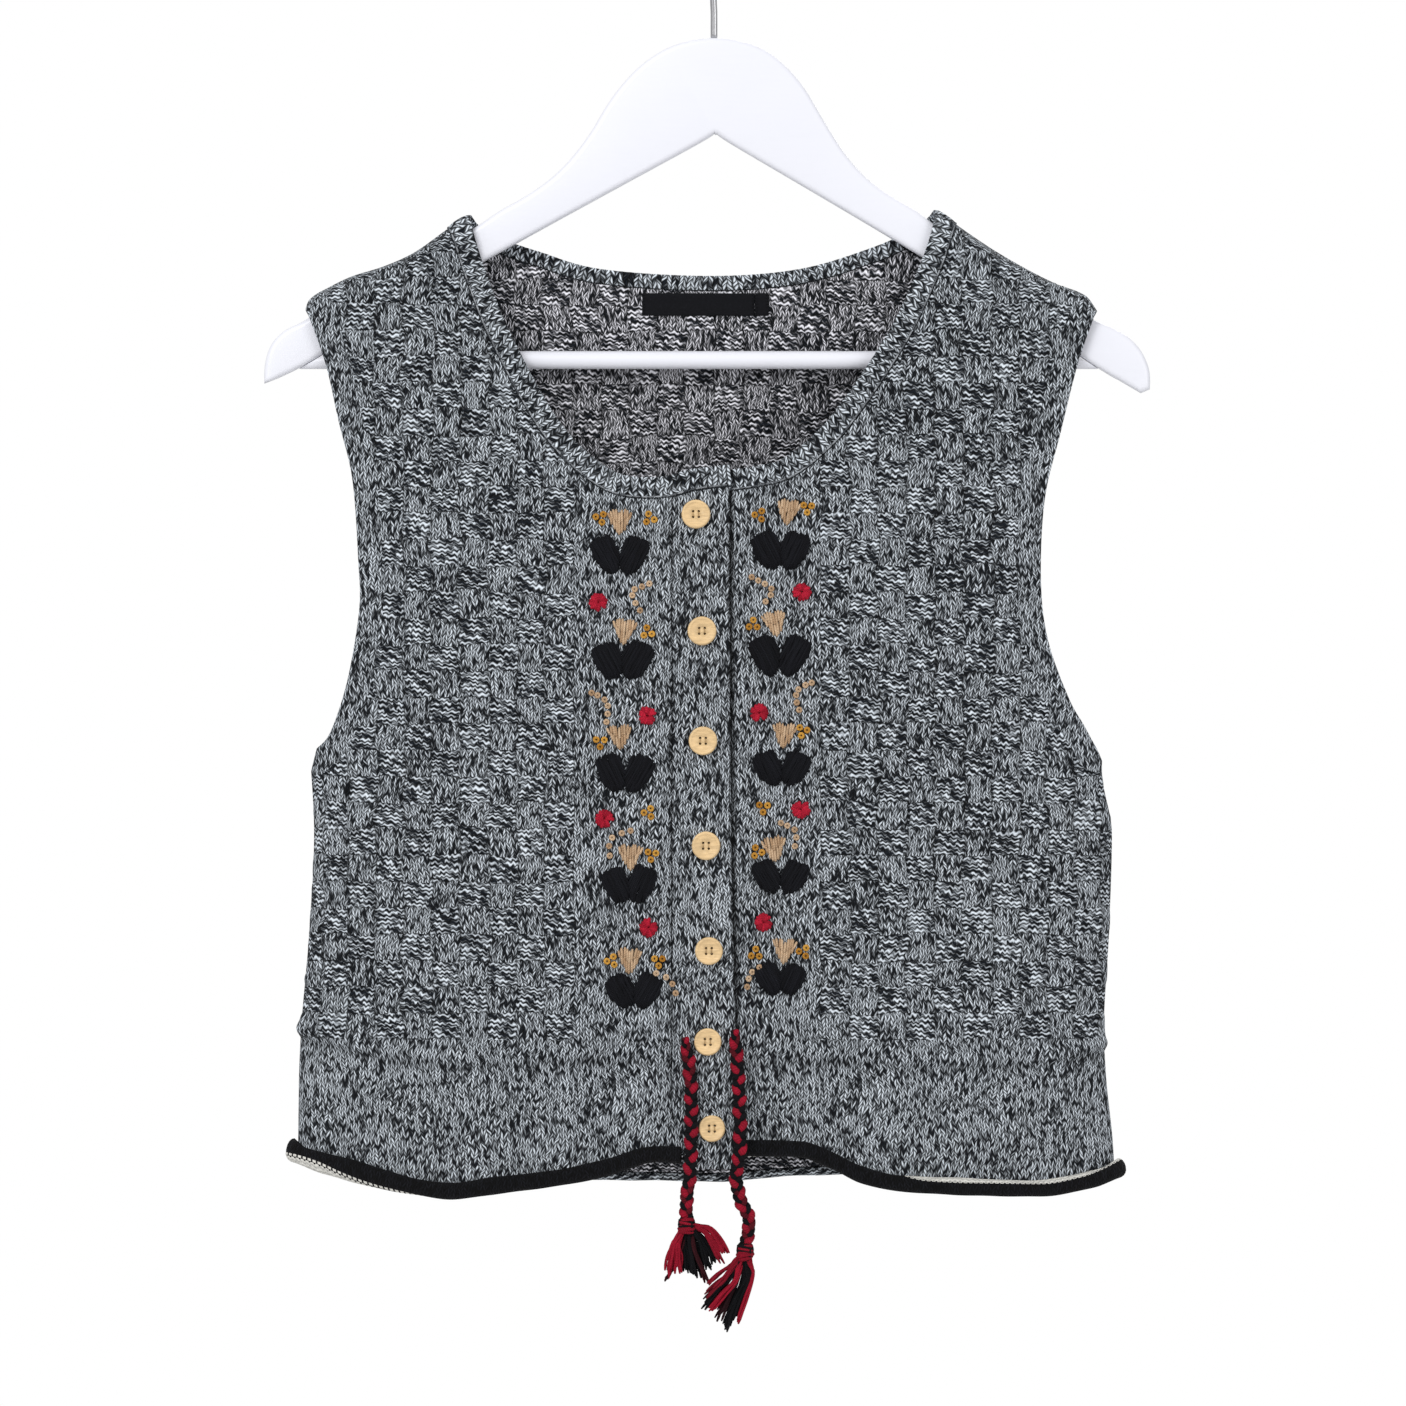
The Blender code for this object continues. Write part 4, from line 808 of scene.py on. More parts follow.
def shell(name, edges, face, piece, thick, steps, knit, material, node):
    """A closed sheet of cloth over an outline of (length, height) points.

    edges holds the outline, marks of its points on the side and shoulder seams, and 1
    where the edge is free and rounds over. steps are the grid steps of the outside and
    the inside. knit holds the grid's origin, a function for how far a point is within
    the basket weave and one for how far it stands out.
    """
    outline, kinds, rounded = edges
    origin, basket, relief = knit
    if area_within(outline) < 0.0:
        outline, kinds, rounded = outline[::-1], kinds[::-1], rounded[::-1]
    inward = inward_from(outline)
    half = thick / 2.0
    inset = outline + inward * (rounded * half)[:, None]
    count = len(outline)
    verts = []
    flat = []
    faces = []
    bake = []
    loops = []
    total = 0
    low = outline.min(0) - BAKE_MARGIN
    size = outline.max(0) + BAKE_MARGIN - low
    for step, out, shift, share in ((steps[0], half, 0.0, BAKE_SHARE),
                                    (steps[1], -half, BAKE_SHARE + 0.01, 0.98 - BAKE_SHARE)):
        points, grid = fill(inset, step, origin)
        spots = np.vstack((inset, points))
        spot_kinds = np.concatenate((kinds, np.zeros(len(points))))
        raised = relief(spots) * (1.0 if out > 0.0 else -0.7)
        raised[:count] *= np.where(kinds == 0, 0.5, 0.0)
        verts.append(place(spots[:, 0], spots[:, 1], spot_kinds, face, piece, out + raised))
        flat.append(spots)
        outward = (out > 0.0) == (face == "front")
        bake_spots = (spots - low) / size * (share, 1.0) + (shift, 0.0)
        for corners in grid:
            corners = corners if outward else corners[::-1]
            faces.append(tuple(total + i for i in corners))
            bake.extend(bake_spots[i] for i in corners)
        loops.append(total + np.arange(count))
        total += len(spots)
    inner = slice(loops[1][0], total)
    rims = [loops[0]]
    for angle in RIM_ANGLES:
        turn = math.radians(angle)
        drawn = outline + inward * (rounded * half * (1.0 - math.cos(turn)))[:, None]
        height = np.full(count, half * math.sin(turn))
        verts.append(place(drawn[:, 0], drawn[:, 1], kinds, face, piece, height))
        flat.append(drawn)
        rims.append(total + np.arange(count))
        total += count
    rims.append(loops[1])
    for order, (upper, lower) in enumerate(zip(rims, rims[1:])):
        rings = [(outline - inward * k * RIM_BAKE - low) / size * (BAKE_SHARE, 1.0)
                 for k in (order, order + 1)]
        for i in range(count):
            j = (i + 1) % count
            ring = (int(upper[i]), int(lower[i]), int(lower[j]), int(upper[j]))
            spots = (rings[0][i], rings[1][i], rings[1][j], rings[0][j])
            faces.append(ring if face == "front" else ring[::-1])
            bake.extend(spots if face == "front" else spots[::-1])
    flat = np.vstack(flat)
    inside = np.zeros(total)
    inside[inner] = 1.0
    stitch = (flat - origin) / (STITCH, ROW)
    x = x_across(flat[:, 0], flat[:, 1], face)
    flank = np.minimum(flat[:, 1], crest(x) - CREST_RADIUS)
    stitch[:, 1] += np.maximum(depth(x, flank, face) - depth(x, flat[:, 1], face), 0.0) / ROW
    maps = {"Stitch": stitch, "OFBake": np.array(bake)}
    marks = {"inside": inside, "basket": basket(flat),
             "shadow": slit_shadow(flat, face, piece, name)}
    obj = make_piece(name, np.vstack(verts), faces, material, node, maps, marks)
    note_cut(obj, *np.ptp(outline, axis=0), area_within(outline))


class Num:
    """A number socket that can be written in sums."""

    def __init__(self, graph, socket):
        self.graph = graph
        self.socket = socket

    def do(self, operation, *others):
        return self.graph.math(operation, self, *others)

    def __rsub__(self, other):
        return self.graph.math("SUBTRACT", other, self)

    __add__ = __radd__ = partialmethod(do, "ADD")
    __sub__ = partialmethod(do, "SUBTRACT")
    __mul__ = __rmul__ = partialmethod(do, "MULTIPLY")
    __truediv__ = partialmethod(do, "DIVIDE")
    power = partialmethod(do, "POWER")
    floor = partialmethod(do, "FLOOR")
    fract = partialmethod(do, "FRACT")
    absolute = partialmethod(do, "ABSOLUTE")
    sine = partialmethod(do, "SINE")
    over = partialmethod(do, "GREATER_THAN")

    def toward(self, other, share):
        """This number, moved by a share towards another."""
        return self + (other - self) * share

    def soft(self, low, high):
        """0 below low, 1 above high and a soft rise between."""
        node = self.graph.add("ShaderNodeMapRange", {0: self, 1: low, 2: high},
                              interpolation_type="SMOOTHSTEP")
        return Num(self.graph, node.outputs[0])

    def from_middle(self):
        """1 at whole numbers, 0 half-way between them, in straight lines."""
        return (self.fract() * 2.0 - 1.0).absolute()


class Graph:
    """Adds nodes to a material or a node group and links them. A colour is three numbers."""

    def __init__(self, tree):
        self.tree = tree

    def feed(self, value, socket):
        """Link a socket to a value that is one too, or set the value."""
        value = getattr(value, "socket", value)
        if isinstance(value, bpy.types.NodeSocket):
            self.tree.links.new(value, socket)
        else:
            socket.default_value = (*value, 1.0) if socket.type == "RGBA" else value

    def add(self, kind, inputs=None, **settings):
        node = self.tree.nodes.new(kind)
        for key, value in settings.items():
            setattr(node, key, value)
        for key, value in (inputs or {}).items():
            self.feed(value, node.inputs[key])
        return node

    def math(self, operation, *values):
        node = self.add("ShaderNodeMath", dict(enumerate(values)), operation=operation)
        return Num(self, node.outputs[0])

    def split(self, vector):
        node = self.add("ShaderNodeSeparateXYZ", {0: vector})
        return [Num(self, node.outputs[i]) for i in range(3)]

    def join(self, x=0.0, y=0.0, z=0.0):
        return self.add("ShaderNodeCombineXYZ", {0: x, 1: y, 2: z}).outputs[0]

    def mix(self, share, first, second, kind="MIX"):
        node = self.add("ShaderNodeMix", {0: share, 6: first, 7: second}, data_type="RGBA",
                        blend_type=kind)
        return node.outputs[2]

    def shaded(self, colour, shade):
        return self.mix(1.0, colour, self.join(shade, shade, shade), "MULTIPLY")

    def noise(self, vector, scale, detail=2.0, kind="2D", output=0):
        node = self.add("ShaderNodeTexNoise", {"Vector": vector, "Scale": scale, "Detail": detail},
                        noise_dimensions=kind)
        return Num(self, node.outputs[output])

    def dice(self, x, y):
        """A random number for each whole pair of numbers."""
        node = self.add("ShaderNodeTexWhiteNoise", {0: self.join(x, y)}, noise_dimensions="2D")
        return Num(self, node.outputs[0])

    def mark(self, name):
        node = self.add("ShaderNodeAttribute", attribute_name=name)
        return Num(self, node.outputs["Fac"])

    def uv(self, name):
        return self.add("ShaderNodeUVMap", uv_map=name).outputs[0]

    def place(self):
        """The point's place on the object, in metres."""
        return self.add("ShaderNodeTexCoord").outputs["Object"]

    def group(self, name, maker, inputs):
        """A shared group of nodes, made when it is first used. Returns its colour and height."""
        tree = bpy.data.node_groups.get(name) or maker(name)
        return self.add("ShaderNodeGroup", inputs, node_tree=tree).outputs[:2]

    def finish(self, colour, height=None, distance=0.0, strength=1.0):
        """Feed the shader's colour, and its normal from a height. distance is in metres."""
        shader = self.tree.nodes["Principled BSDF"]
        self.feed(colour, shader.inputs["Base Color"])
        if height is not None:
            bump = self.add("ShaderNodeBump", {"Height": height, "Distance": distance,
                                               "Strength": strength})
            self.feed(bump.outputs[0], shader.inputs["Normal"])


def new_group(name, **inputs):
    """A shader node group that puts out a colour and a height: its graph and its inputs."""
    tree = bpy.data.node_groups.new(name, "ShaderNodeTree")
    for label, kind in inputs.items():
        tree.interface.new_socket(name=label, in_out="INPUT", socket_type="NodeSocket" + kind)
    for label, kind in (("Color", "Color"), ("Height", "Float")):
        tree.interface.new_socket(name=label, in_out="OUTPUT", socket_type="NodeSocket" + kind)
    graph = Graph(tree)
    given = graph.add("NodeGroupInput").outputs
    return graph, [Num(graph, given[k]) if kind == "Float" else given[k]
                   for k, kind in enumerate(inputs.values())]


def finish_group(graph, colour, height):
    graph.add("NodeGroupOutput", {0: colour, 1: height})
    return graph.tree


def new_material(name, roughness, **fixed):
    """The graph of a new material. fixed holds constant values of the shader's sockets."""
    material = bpy.data.materials.new(name)
    material.use_nodes = True
    inputs = material.node_tree.nodes["Principled BSDF"].inputs
    inputs["Roughness"].default_value = roughness
    for label, value in fixed.items():
        inputs[label.replace("_", " ")].default_value = value
    return Graph(material.node_tree)


def marl_group(name):
    """Knitted stitches of yarn twisted from a pale and a dark strand, plain or purl side out.

    Stitch counts stitch columns and rows. Basket is 1 within the basket weave, Purl is 1
    where the purl side faces out and Inside is 1 on the cloth's inner side. Groove is how
    dark the painted shade in the lines between the columns of plain stitches is. The colour
    carries painted shade in the gaps between stitches and along the edges of the weave's blocks.
    """
    graph, (place_in, basket, purl_out, inside, groove, pale, dark) = new_group(
        name, Stitch="Vector", Basket="Float", Purl="Float", Inside="Float",
        Groove="Float", Pale="Color", Dark="Color")
    s, t, _ = graph.split(place_in)
    for scale, reach in ((0.11, 1.5), (0.5, 0.6)):
        drift = graph.split(graph.noise(place_in, scale, 0.0, output=1).socket)
        s = s + (drift[0] - 0.5) * reach
        t = t + (drift[1] - 0.5) * reach
    column = s / BLOCK_STITCHES
    band = t / BLOCK_ROWS
    odd = ((column.floor() + band.floor()) * 0.5).fract().over(0.25)
    weave = basket.over(0.5)
    purl = ((odd * weave).do("MAXIMUM", purl_out) - inside.over(0.5)).absolute()

    leg = (s.fract() - 0.5).absolute() * 2.0
    slope = t - leg * 1.3
    row = slope.floor()
    rise = slope.fract()
    side = (s * 2.0).floor()
    body = 1.0 - slope.from_middle().power(1.7)
    ends = 1.0 - (s * 2.0).from_middle().power(2.4)
    run = graph.noise(graph.join(side * 3.7 + 0.5, row * 0.8), 0.5, 0.0)
    ply = ((rise * 0.5 + leg * 0.25 + graph.dice(side + 55.0, row)) * math.tau).sine()
    plain_tone = graph.dice(side, row) * 0.7 + run * 0.3 + ply * 0.2 + 0.05
    # Painted shade: darker in the gaps between legs and rows, and in the grooves between columns
    plain_shade = (body * ends).soft(0.0, 0.88) * (1.0 - leg.soft(0.7, 1.0) * groove)

    level = t + (s * math.tau).sine() * 0.18
    line = level.floor()
    part = (s * 0.45 + graph.dice(line, 3.0) * 7.0).floor()
    own = graph.dice(part + 40.0, line)
    bead = graph.dice((s + 0.5).floor() + 91.0, line)
    ply = ((level.fract() * 0.9 + s * 0.35 + own) * math.tau).sine()
    purl_body = 1.0 - level.from_middle().power(1.4)
    purl_tone = own * 0.2 + bead * 0.42 + ply * 0.25 + 0.12

    cloud = graph.noise(graph.join(s * 0.6, t * 0.18), 1.0, 0.0)
    patch = graph.noise(place_in, 0.06, 0.0) + cloud
    tone = plain_tone.toward(purl_tone, purl) + (patch - 1.0) * 0.1
    tone = tone + (graph.dice(column.floor(), band.floor()) - 0.5) * weave * 0.1
    yarn = graph.mix(tone.soft(0.22, 0.77), dark, pale)
    beside = column.from_middle()
    # Painted shade along the edges of the weave's blocks, where knit and purl blocks meet
    plain_rim_shade = beside.soft(0.72, 1.0) * 0.35
    purl_rim_shade = band.from_middle().soft(0.7, 1.0) * 0.25 + beside.soft(0.85, 1.0) * 0.35
    shade = plain_shade.toward(purl_body.soft(0.0, 1.0), purl) * 0.95 + 0.05
    shade = shade * (1.0 - plain_rim_shade.toward(purl_rim_shade, purl) * weave)
    return finish_group(graph, graph.shaded(yarn, shade), (body * ends).toward(purl_body, purl))


def fuzz_group(name):
    """Colour of wool: fine fibres and softly uneven dye."""
    graph, (spot, dye, grain) = new_group(name, Place="Vector", Colour="Color", Grain="Float")
    fine = graph.noise(spot, 1400.0, 3.0, "3D")
    broad = graph.noise(spot, 160.0, 2.0, "3D")
    shade = (fine - 0.5) * grain + (broad - 0.5) * 0.5 + 1.0
    return finish_group(graph, graph.shaded(dye, shade), fine)


def stitch_origin(face, piece):
    """Where the grid of a panel's stitches starts, as a length and a height."""
    return np.array((BASKET_START[piece] if face == "front" else 0.0, BASKET_BOTTOM))


def knit_functions(face, piece, armholes, high):
    """Grid origin of a panel, its basket weave and its relief, as shell takes them."""
    origin = stitch_origin(face, piece)

    def basket(spots):
        c, z = spots.T
        within_weave = z - BASKET_BOTTOM
        if face == "front":
            within_weave = np.minimum(within_weave, SIGN[piece] * (c - BASKET_START[piece]))
        within_weave = np.minimum(within_weave, distances(spots, armholes) - ARMHOLE_STRIP)
        return np.clip(within_weave / 3.0 + 0.5, 0.0, 1.0)

    def relief(spots):
        c, z = spots.T
        column = (c - origin[0]) / (BLOCK_STITCHES * STITCH)
        row = (z - origin[1]) / (BLOCK_ROWS * ROW)
        even_block = (np.floor(column) + np.floor(row)) % 2 < 0.5
        a = 2.0 * (column - np.floor(column)) - 1.0
        b = 2.0 * (row - np.floor(row)) - 1.0
        block = np.where(even_block, 1.0, -1.0) * (0.34 + 0.3 * a ** 2 - 0.5 * b ** 4)
        total = high * block * smoothstep(basket(spots), 0.3, 0.9)
        welt = above_casing(c, z, face)
        lapped = smoothstep(c, -34.0, -24.0) * (1.0 - smoothstep(c, 17.0, 24.0))
        lapped = lapped if face == "front" else 0.0
        ridge = CASING_RELIEF * np.exp(-(welt / CASING_HALF) ** 2)
        groove = -0.7 * np.exp(-((welt + 6.0) / 2.2) ** 2)
        return total + (ridge + groove) * (1.0 - lapped)

    return origin, basket, relief


def neck_pairs(face, side=None):
    """Edge and seam points of the neckband that meet on the shoulders' crest."""
    edge = spline(NECK_FRONT[side] if face == "front" else NECK_BACK, EDGE_STEP)
    span = spans(edge)
    away = unit(np.column_stack((span[:, 1], -span[:, 0])))
    outer = np.abs(edge[:, 0]) >= NECK_TURN
    away[np.where(outer, away[:, 0] * edge[:, 0] < 0.0, away[:, 1] > 0.0)] *= -1.0
    seam = edge + away * NECKBAND_WIDTH[face]
    count = len(edge)
    shoulders = [(count - 1, math.copysign(1.0, edge[-1, 0]))]
    if face == "back":
        shoulders.append((0, -1.0))
    for end, sign in shoulders:
        row = SHOULDER["left" if sign < 0.0 else "right"][1]
        offset = np.array((sign * row[0], row[1])) - edge[end]
        for k in range(max(0, end - NECK_REACH), min(count, end + NECK_REACH + 1)):
            share = (1.0 - abs(end - k) / NECK_REACH) ** 2
            seam[k] += (edge[k] + offset - seam[k]) * share
    return edge, seam


def seam_height(x, side):
    """Height of the neckband's seam on a front at a distance from the middle."""
    seam = neck_pairs("front", side)[1][:60]
    order = np.argsort(seam[:, 0])
    return float(np.interp(x, seam[order, 0], seam[order, 1]))


def neck_line(face, side):
    """Lengths and heights of a panel along the neckband's seam, and x."""
    seam = neck_pairs(face, side)[1]
    seam = seam[crest(seam[:, 0]) - seam[:, 1] >= 0.4]
    return np.column_stack((across(seam[:, 0], seam[:, 1], face), seam[:, 1])), seam[:, 0]


def crest_line(face, side):
    """Lengths and heights of a panel along its shoulder."""
    sign = SIGN[side]
    line = even([(x, float(crest(sign * x))) for x, _ in SHOULDER[side][1:]], EDGE_STEP)
    x = sign * line[:, 0]
    z = crest(x)
    return np.column_stack((across(x, z, face), z))


def armhole_line(face, side):
    """Lengths and heights of a panel along its armhole."""
    sign = SIGN[side]
    line = spline(ARMHOLE[side], EDGE_STEP)
    inset = BACK_ARMHOLE_INSET if face == "back" else 0.0
    share = np.linspace(0.0, 6.0, len(line))
    taper = np.minimum(1.0, np.minimum(share, share[::-1]))
    x = sign * (line[:, 0] - inset * taper)
    z = np.minimum(line[:, 1], crest(x))
    x = sign * np.minimum(np.abs(x), half_width(z, x))
    keep = (z >= -400.0) | (depth(x, z, face) >= 4.0)
    keep[[0, -1]] = False
    return np.column_stack((across(x[keep], z[keep], face), z[keep]))


def hem_height(c, face):
    """Height of the middle of the hem roll."""
    z = np.full(np.shape(c), HEM_LEVEL)
    for _ in range(4):
        z = read(HEM[face], x_across(c, z, face))
    return z


def side_line(face, side):
    """Lengths and heights of a panel down its side seam."""
    sign = SIGN[side]
    top = ARMHOLE[side][-1][1]
    edge = sign * read(SECTIONS, HEM_LEVEL, 1 if side == "left" else 2)
    bottom = float(read(HEM["front"], edge)) + HEM_CLEARANCE
    z = np.linspace(top, bottom, round((top - bottom) / EDGE_STEP))
    return np.column_stack((sign * side_length(z, face, int(sign)), z))


def hem_line(face, start, end):
    """Lengths and heights of a panel along the top of the hem."""
    c = np.linspace(start, end, max(2, round(abs(end - start) / EDGE_STEP)))
    return np.column_stack((c, hem_height(c, face) + HEM_CLEARANCE))


def front_line(x, z):
    """Lengths and heights on a front, from x and heights."""
    return np.column_stack((across(x, z, "front"), z))


def joined(parts):
    """One outline of several runs of (points, kind, rounded)."""
    outline = np.vstack([points for points, _, _ in parts])
    kinds = np.concatenate([np.full(len(points), kind) for points, kind, _ in parts])
    rounded = np.concatenate([np.full(len(points), soft, float) for points, _, soft in parts])
    keep = np.ones(len(outline), bool)
    last = outline[-1]
    for i, point in enumerate(outline):
        if np.hypot(*(point - last)) < EDGE_STEP * 0.35:
            keep[i] = False
        else:
            last = point
    rounded = np.convolve(np.pad(rounded, 3, mode="wrap"), np.ones(7) / 7.0, "valid")
    return outline[keep], kinds[keep], rounded[keep]


def panel_steps(parts):
    """Grid steps of a panel's outside, with a block in so many parts, and of its inside."""
    block = np.array((BLOCK_STITCHES * STITCH, BLOCK_ROWS * ROW))
    return block / parts, np.array((STITCH, ROW * 1.2))


def make_front(side, material, high):
    seam_x = float(read(BAND_SEAM[side], NECK_CORNER))
    neck, neck_x = neck_line("front", side)
    neck = neck[SIGN[side] * (neck_x - seam_x) > 1.0]
    top = seam_height(seam_x, side)
    arm = armhole_line("front", side)
    sides = side_line("front", side)
    foot = float(across(read(BAND_SEAM[side], [SEAM_FOOT]), SEAM_FOOT, "front")[0])
    hem = hem_line("front", sides[-1, 0], foot)
    z = np.arange(hem[-1, 1] + EDGE_STEP, top - 1.0, EDGE_STEP)
    edges = joined((
        (front_line([seam_x], [top]), 0, 0), (neck, 0, 0), (crest_line("front", side), CREST, 0),
        (arm, 0, 1), (sides, SIDE, 0), (hem[1:], 0, 0),
        (front_line(read(BAND_SEAM[side], z), z), 0, 0),
    ))
    shell(f"{side}_front_cloth", edges, "front", side, WALL, panel_steps((10.0, 9.0)),
          knit_functions("front", side, arm, high), material, f"front_{side}")


def make_back(material, high):
    neck, _ = neck_line("back", None)
    arms = {side: armhole_line("back", side) for side in SIGN}
    sides = {side: side_line("back", side) for side in SIGN}
    hem = hem_line("back", sides["right"][-1, 0], sides["left"][-1, 0])[1:-1]
    edges = joined((
        (neck, 0, 0), (crest_line("back", "right"), CREST, 0), (arms["right"], 0, 1),
        (sides["right"], SIDE, 0), (hem, 0, 0), (sides["left"][::-1], SIDE, 0),
        (arms["left"][::-1], 0, 1), (crest_line("back", "left")[::-1], CREST, 0),
    ))
    line = np.vstack((arms["left"], arms["right"]))
    shell("back_cloth", edges, "back", "", WALL, panel_steps((8.0, 8.0)),
          knit_functions("back", "", line, high), material, "back")


def make_band(name, piece, left, right, soft, material, node):
    """A plain band up a front edge. soft is 1 for a rounded left edge, right edge and foot."""
    bottom = BAND_BOTTOM[piece]
    z = np.arange(bottom, NECK_CORNER - 3.0, EDGE_STEP)
    low = front_line(left(z), z)
    high = front_line(right(z), z)
    x = np.linspace(float(left(NECK_CORNER)), float(right(NECK_CORNER)), BAND_POINTS)
    top = front_line(x, np.array([seam_height(v, piece) - GAP for v in x]))
    foot_c = np.linspace(low[0, 0], high[0, 0], BAND_POINTS)[1:-1]
    foot = np.column_stack((foot_c, np.full(len(foot_c), bottom)))
    edges = joined((
        (low[::-1], 0, soft[0]), (foot, 0, soft[2]), (high, 0, soft[1]), (top[::-1], 0, 0),
    ))

    def plain(spots):
        return np.zeros(len(spots))

    steps = (np.array((STITCH / 2.0, ROW / 1.5)), np.array((STITCH, ROW)))
    shell(name, edges, "front", piece, BAND_WALL, steps,
          (stitch_origin("front", piece), plain, plain), material, node)


def neck_rails():
    """Edge and seam points round the neckband, each as six numbers in a row."""
    rows = []
    for face, piece, turn in (("front", "left", 1), ("back", "", 1), ("front", "right", -1)):
        edge, seam = (line[::turn] for line in neck_pairs(face, piece))
        drawn = seam - edge
        seam = edge + drawn * (1.0 - 0.5 / np.linalg.norm(drawn, axis=1, keepdims=True))
        points = []
        for x, z in (edge.T, seam.T):
            z = np.minimum(z, crest(x))
            points.append(on_cloth(across(x, z, face), z, face, piece, np.zeros(len(z))))
        rows.append(np.hstack(points))
    return even(np.vstack(rows), NECK_STEP * math.sqrt(2.0))


def make_neckband(material, chain_material):
    rails = neck_rails()
    count = len(rails)
    edge = rails[:, :3]
    seam = rails[:, 3:]
    span = spans(rails)
    out = unit(np.cross(span[:, :3] + span[:, 3:], seam - edge))
    along = lengths_along((edge + seam) / 2.0)
    shares = np.sin(np.linspace(0.0, math.pi / 2.0, 11))
    half = BAND_WALL / 2.0
    rib = np.cos(math.tau * along / RIB_PITCH)
    verts = []
    stitch = []
    bake = []
    profile = [(w, 1.0) for w in shares] + [(w, -1.0) for w in shares[-2::-1]]
    size = len(profile)
    wide = np.linalg.norm(seam - edge, axis=1)
    for order, (w, sign) in enumerate(profile):
        thick = half * math.sqrt(max(1.0 - w ** 7, 0.0)) * (1.0 + 0.22 * math.sin(math.pi * w))
        ribbed = 0.25 * rib
        if w < 1.0:
            ribbed = 0.5 * rib * math.sin(math.pi * min(w + 0.12, 1.0) ** 0.8)
        pushed = unit(edge - seam) * (ribbed * max(w - 0.8, 0.0))[:, None]
        verts.append(seam + (edge - seam) * w + out * (sign * (thick + ribbed))[:, None] + pushed)
        reach = wide * w if sign > 0.0 else wide * (2.0 - w)
        stitch.append(np.column_stack((along / RIB_PITCH + 0.5, reach / ROW)))
        bake.append(np.column_stack((along / along[-1], np.full(count, order / (size - 1.0)))))
    faces = [(a, d, c, b) for a, b, c, d in quads(count, size)] + end_faces(count, size)
    band = make_piece("neckband_rib", by_ring(verts), faces, material, "neckband",
                      {"Stitch": by_ring(stitch), "OFBake": by_ring(bake)},
                      {"inside": np.zeros(count * size)})
    note_cut(band, np.max(wide), along[-1], np.mean(wide) * along[-1])
    batch = Batch()
    dice = random.Random(3)
    for mark in np.arange(CHAIN_PITCH, along[-1] - CHAIN_PITCH, CHAIN_PITCH):
        thread = []
        for at in (mark - CHAIN_PITCH * 0.44, mark + CHAIN_PITCH * 0.44):
            k = min(int(np.searchsorted(along, at)), count - 1)
            thread.append(seam[k] + out[k] * (half + 0.25) + unit(edge - seam)[k] * 0.4)
        batch.capsule(*thread, 0.46, 5, dice.random())
    batch.tube((seam + unit(seam - edge) * 0.25)[::3], 0.5, 5, 0.0)
    batch.piece("neckband_chain_line", chain_material, "marled_rib")


def make_side_seams(material):
    """Yarn that fills the seams between the fronts and the back."""
    batch = Batch()
    for side in SIGN:
        c, z = side_line("front", side).T
        spots = place(c, z, np.full(len(c), SIDE), "front", side, 0.0)
        batch.tube(spots[::2], SIDE_SEAM_RADIUS, 5, 0.15)
    batch.piece("side_seam_yarn", material, "marled_knit")


class Batch:
    """Gathers closed tubes of thread, cord or wire into one mesh."""

    def __init__(self):
        self.verts = []
        self.faces = []
        self.tones = []
        self.maps = []

    def tube(self, points, radius, sides, tone=0.5, flat=1.0):
        """A tube along points. radius and tone are one number or one for each point."""
        line = np.asarray(points, float)
        count = len(line)
        size = np.broadcast_to(radius, (count,))
        tones = np.broadcast_to(tone, (count,))
        tangent = unit(np.gradient(line, axis=0))
        guide = (0.0, 1.0, 0.0) if abs(tangent[0, 2]) > 0.9 else (0.0, 0.0, 1.0)
        side = unit(np.cross(tangent[0], guide))
        start = len(self.verts)
        lengths = lengths_along(line)
        for k in range(count):
            side = unit(side - tangent[k] * (side @ tangent[k]))
            other = np.cross(tangent[k], side)
            for i, (x, y) in enumerate(circle(sides, 1.0)):
                self.verts.append(line[k] + side * (size[k] * x) + other * (size[k] * flat * y))
                self.maps.append((lengths[k], i / sides))
        last = len(self.verts)
        self.verts += [line[0] - tangent[0] * size[0] * 0.6,
                       line[-1] + tangent[-1] * size[-1] * 0.6]
        self.maps += [(0.0, 0.5), (lengths[-1], 0.5)]
        self.tones.extend(np.append(np.repeat(tones, sides), (tones[0], tones[-1])))
        self.faces += quads(count, sides, start)
        for i in range(sides):
            j = (i + 1) % sides
            self.faces += [(start + j, start + i, last),
                           (last - sides + i, last - sides + j, last + 1)]

    def capsule(self, start, end, radius, sides, tone=0.5):
        """A short thread that swells between its ends."""
        start = np.asarray(start, float)
        line = [start + (end - start) * share for share in (0.0, 0.22, 0.5, 0.78, 1.0)]
        self.tube(line, [radius * size for size in (0.55, 0.95, 1.0, 0.95, 0.55)], sides, tone)

    def piece(self, name, material, slot, node=""):
        return make_piece(name, self.verts, self.faces, material, node,
                          {"Along": self.maps}, {"tone": self.tones})


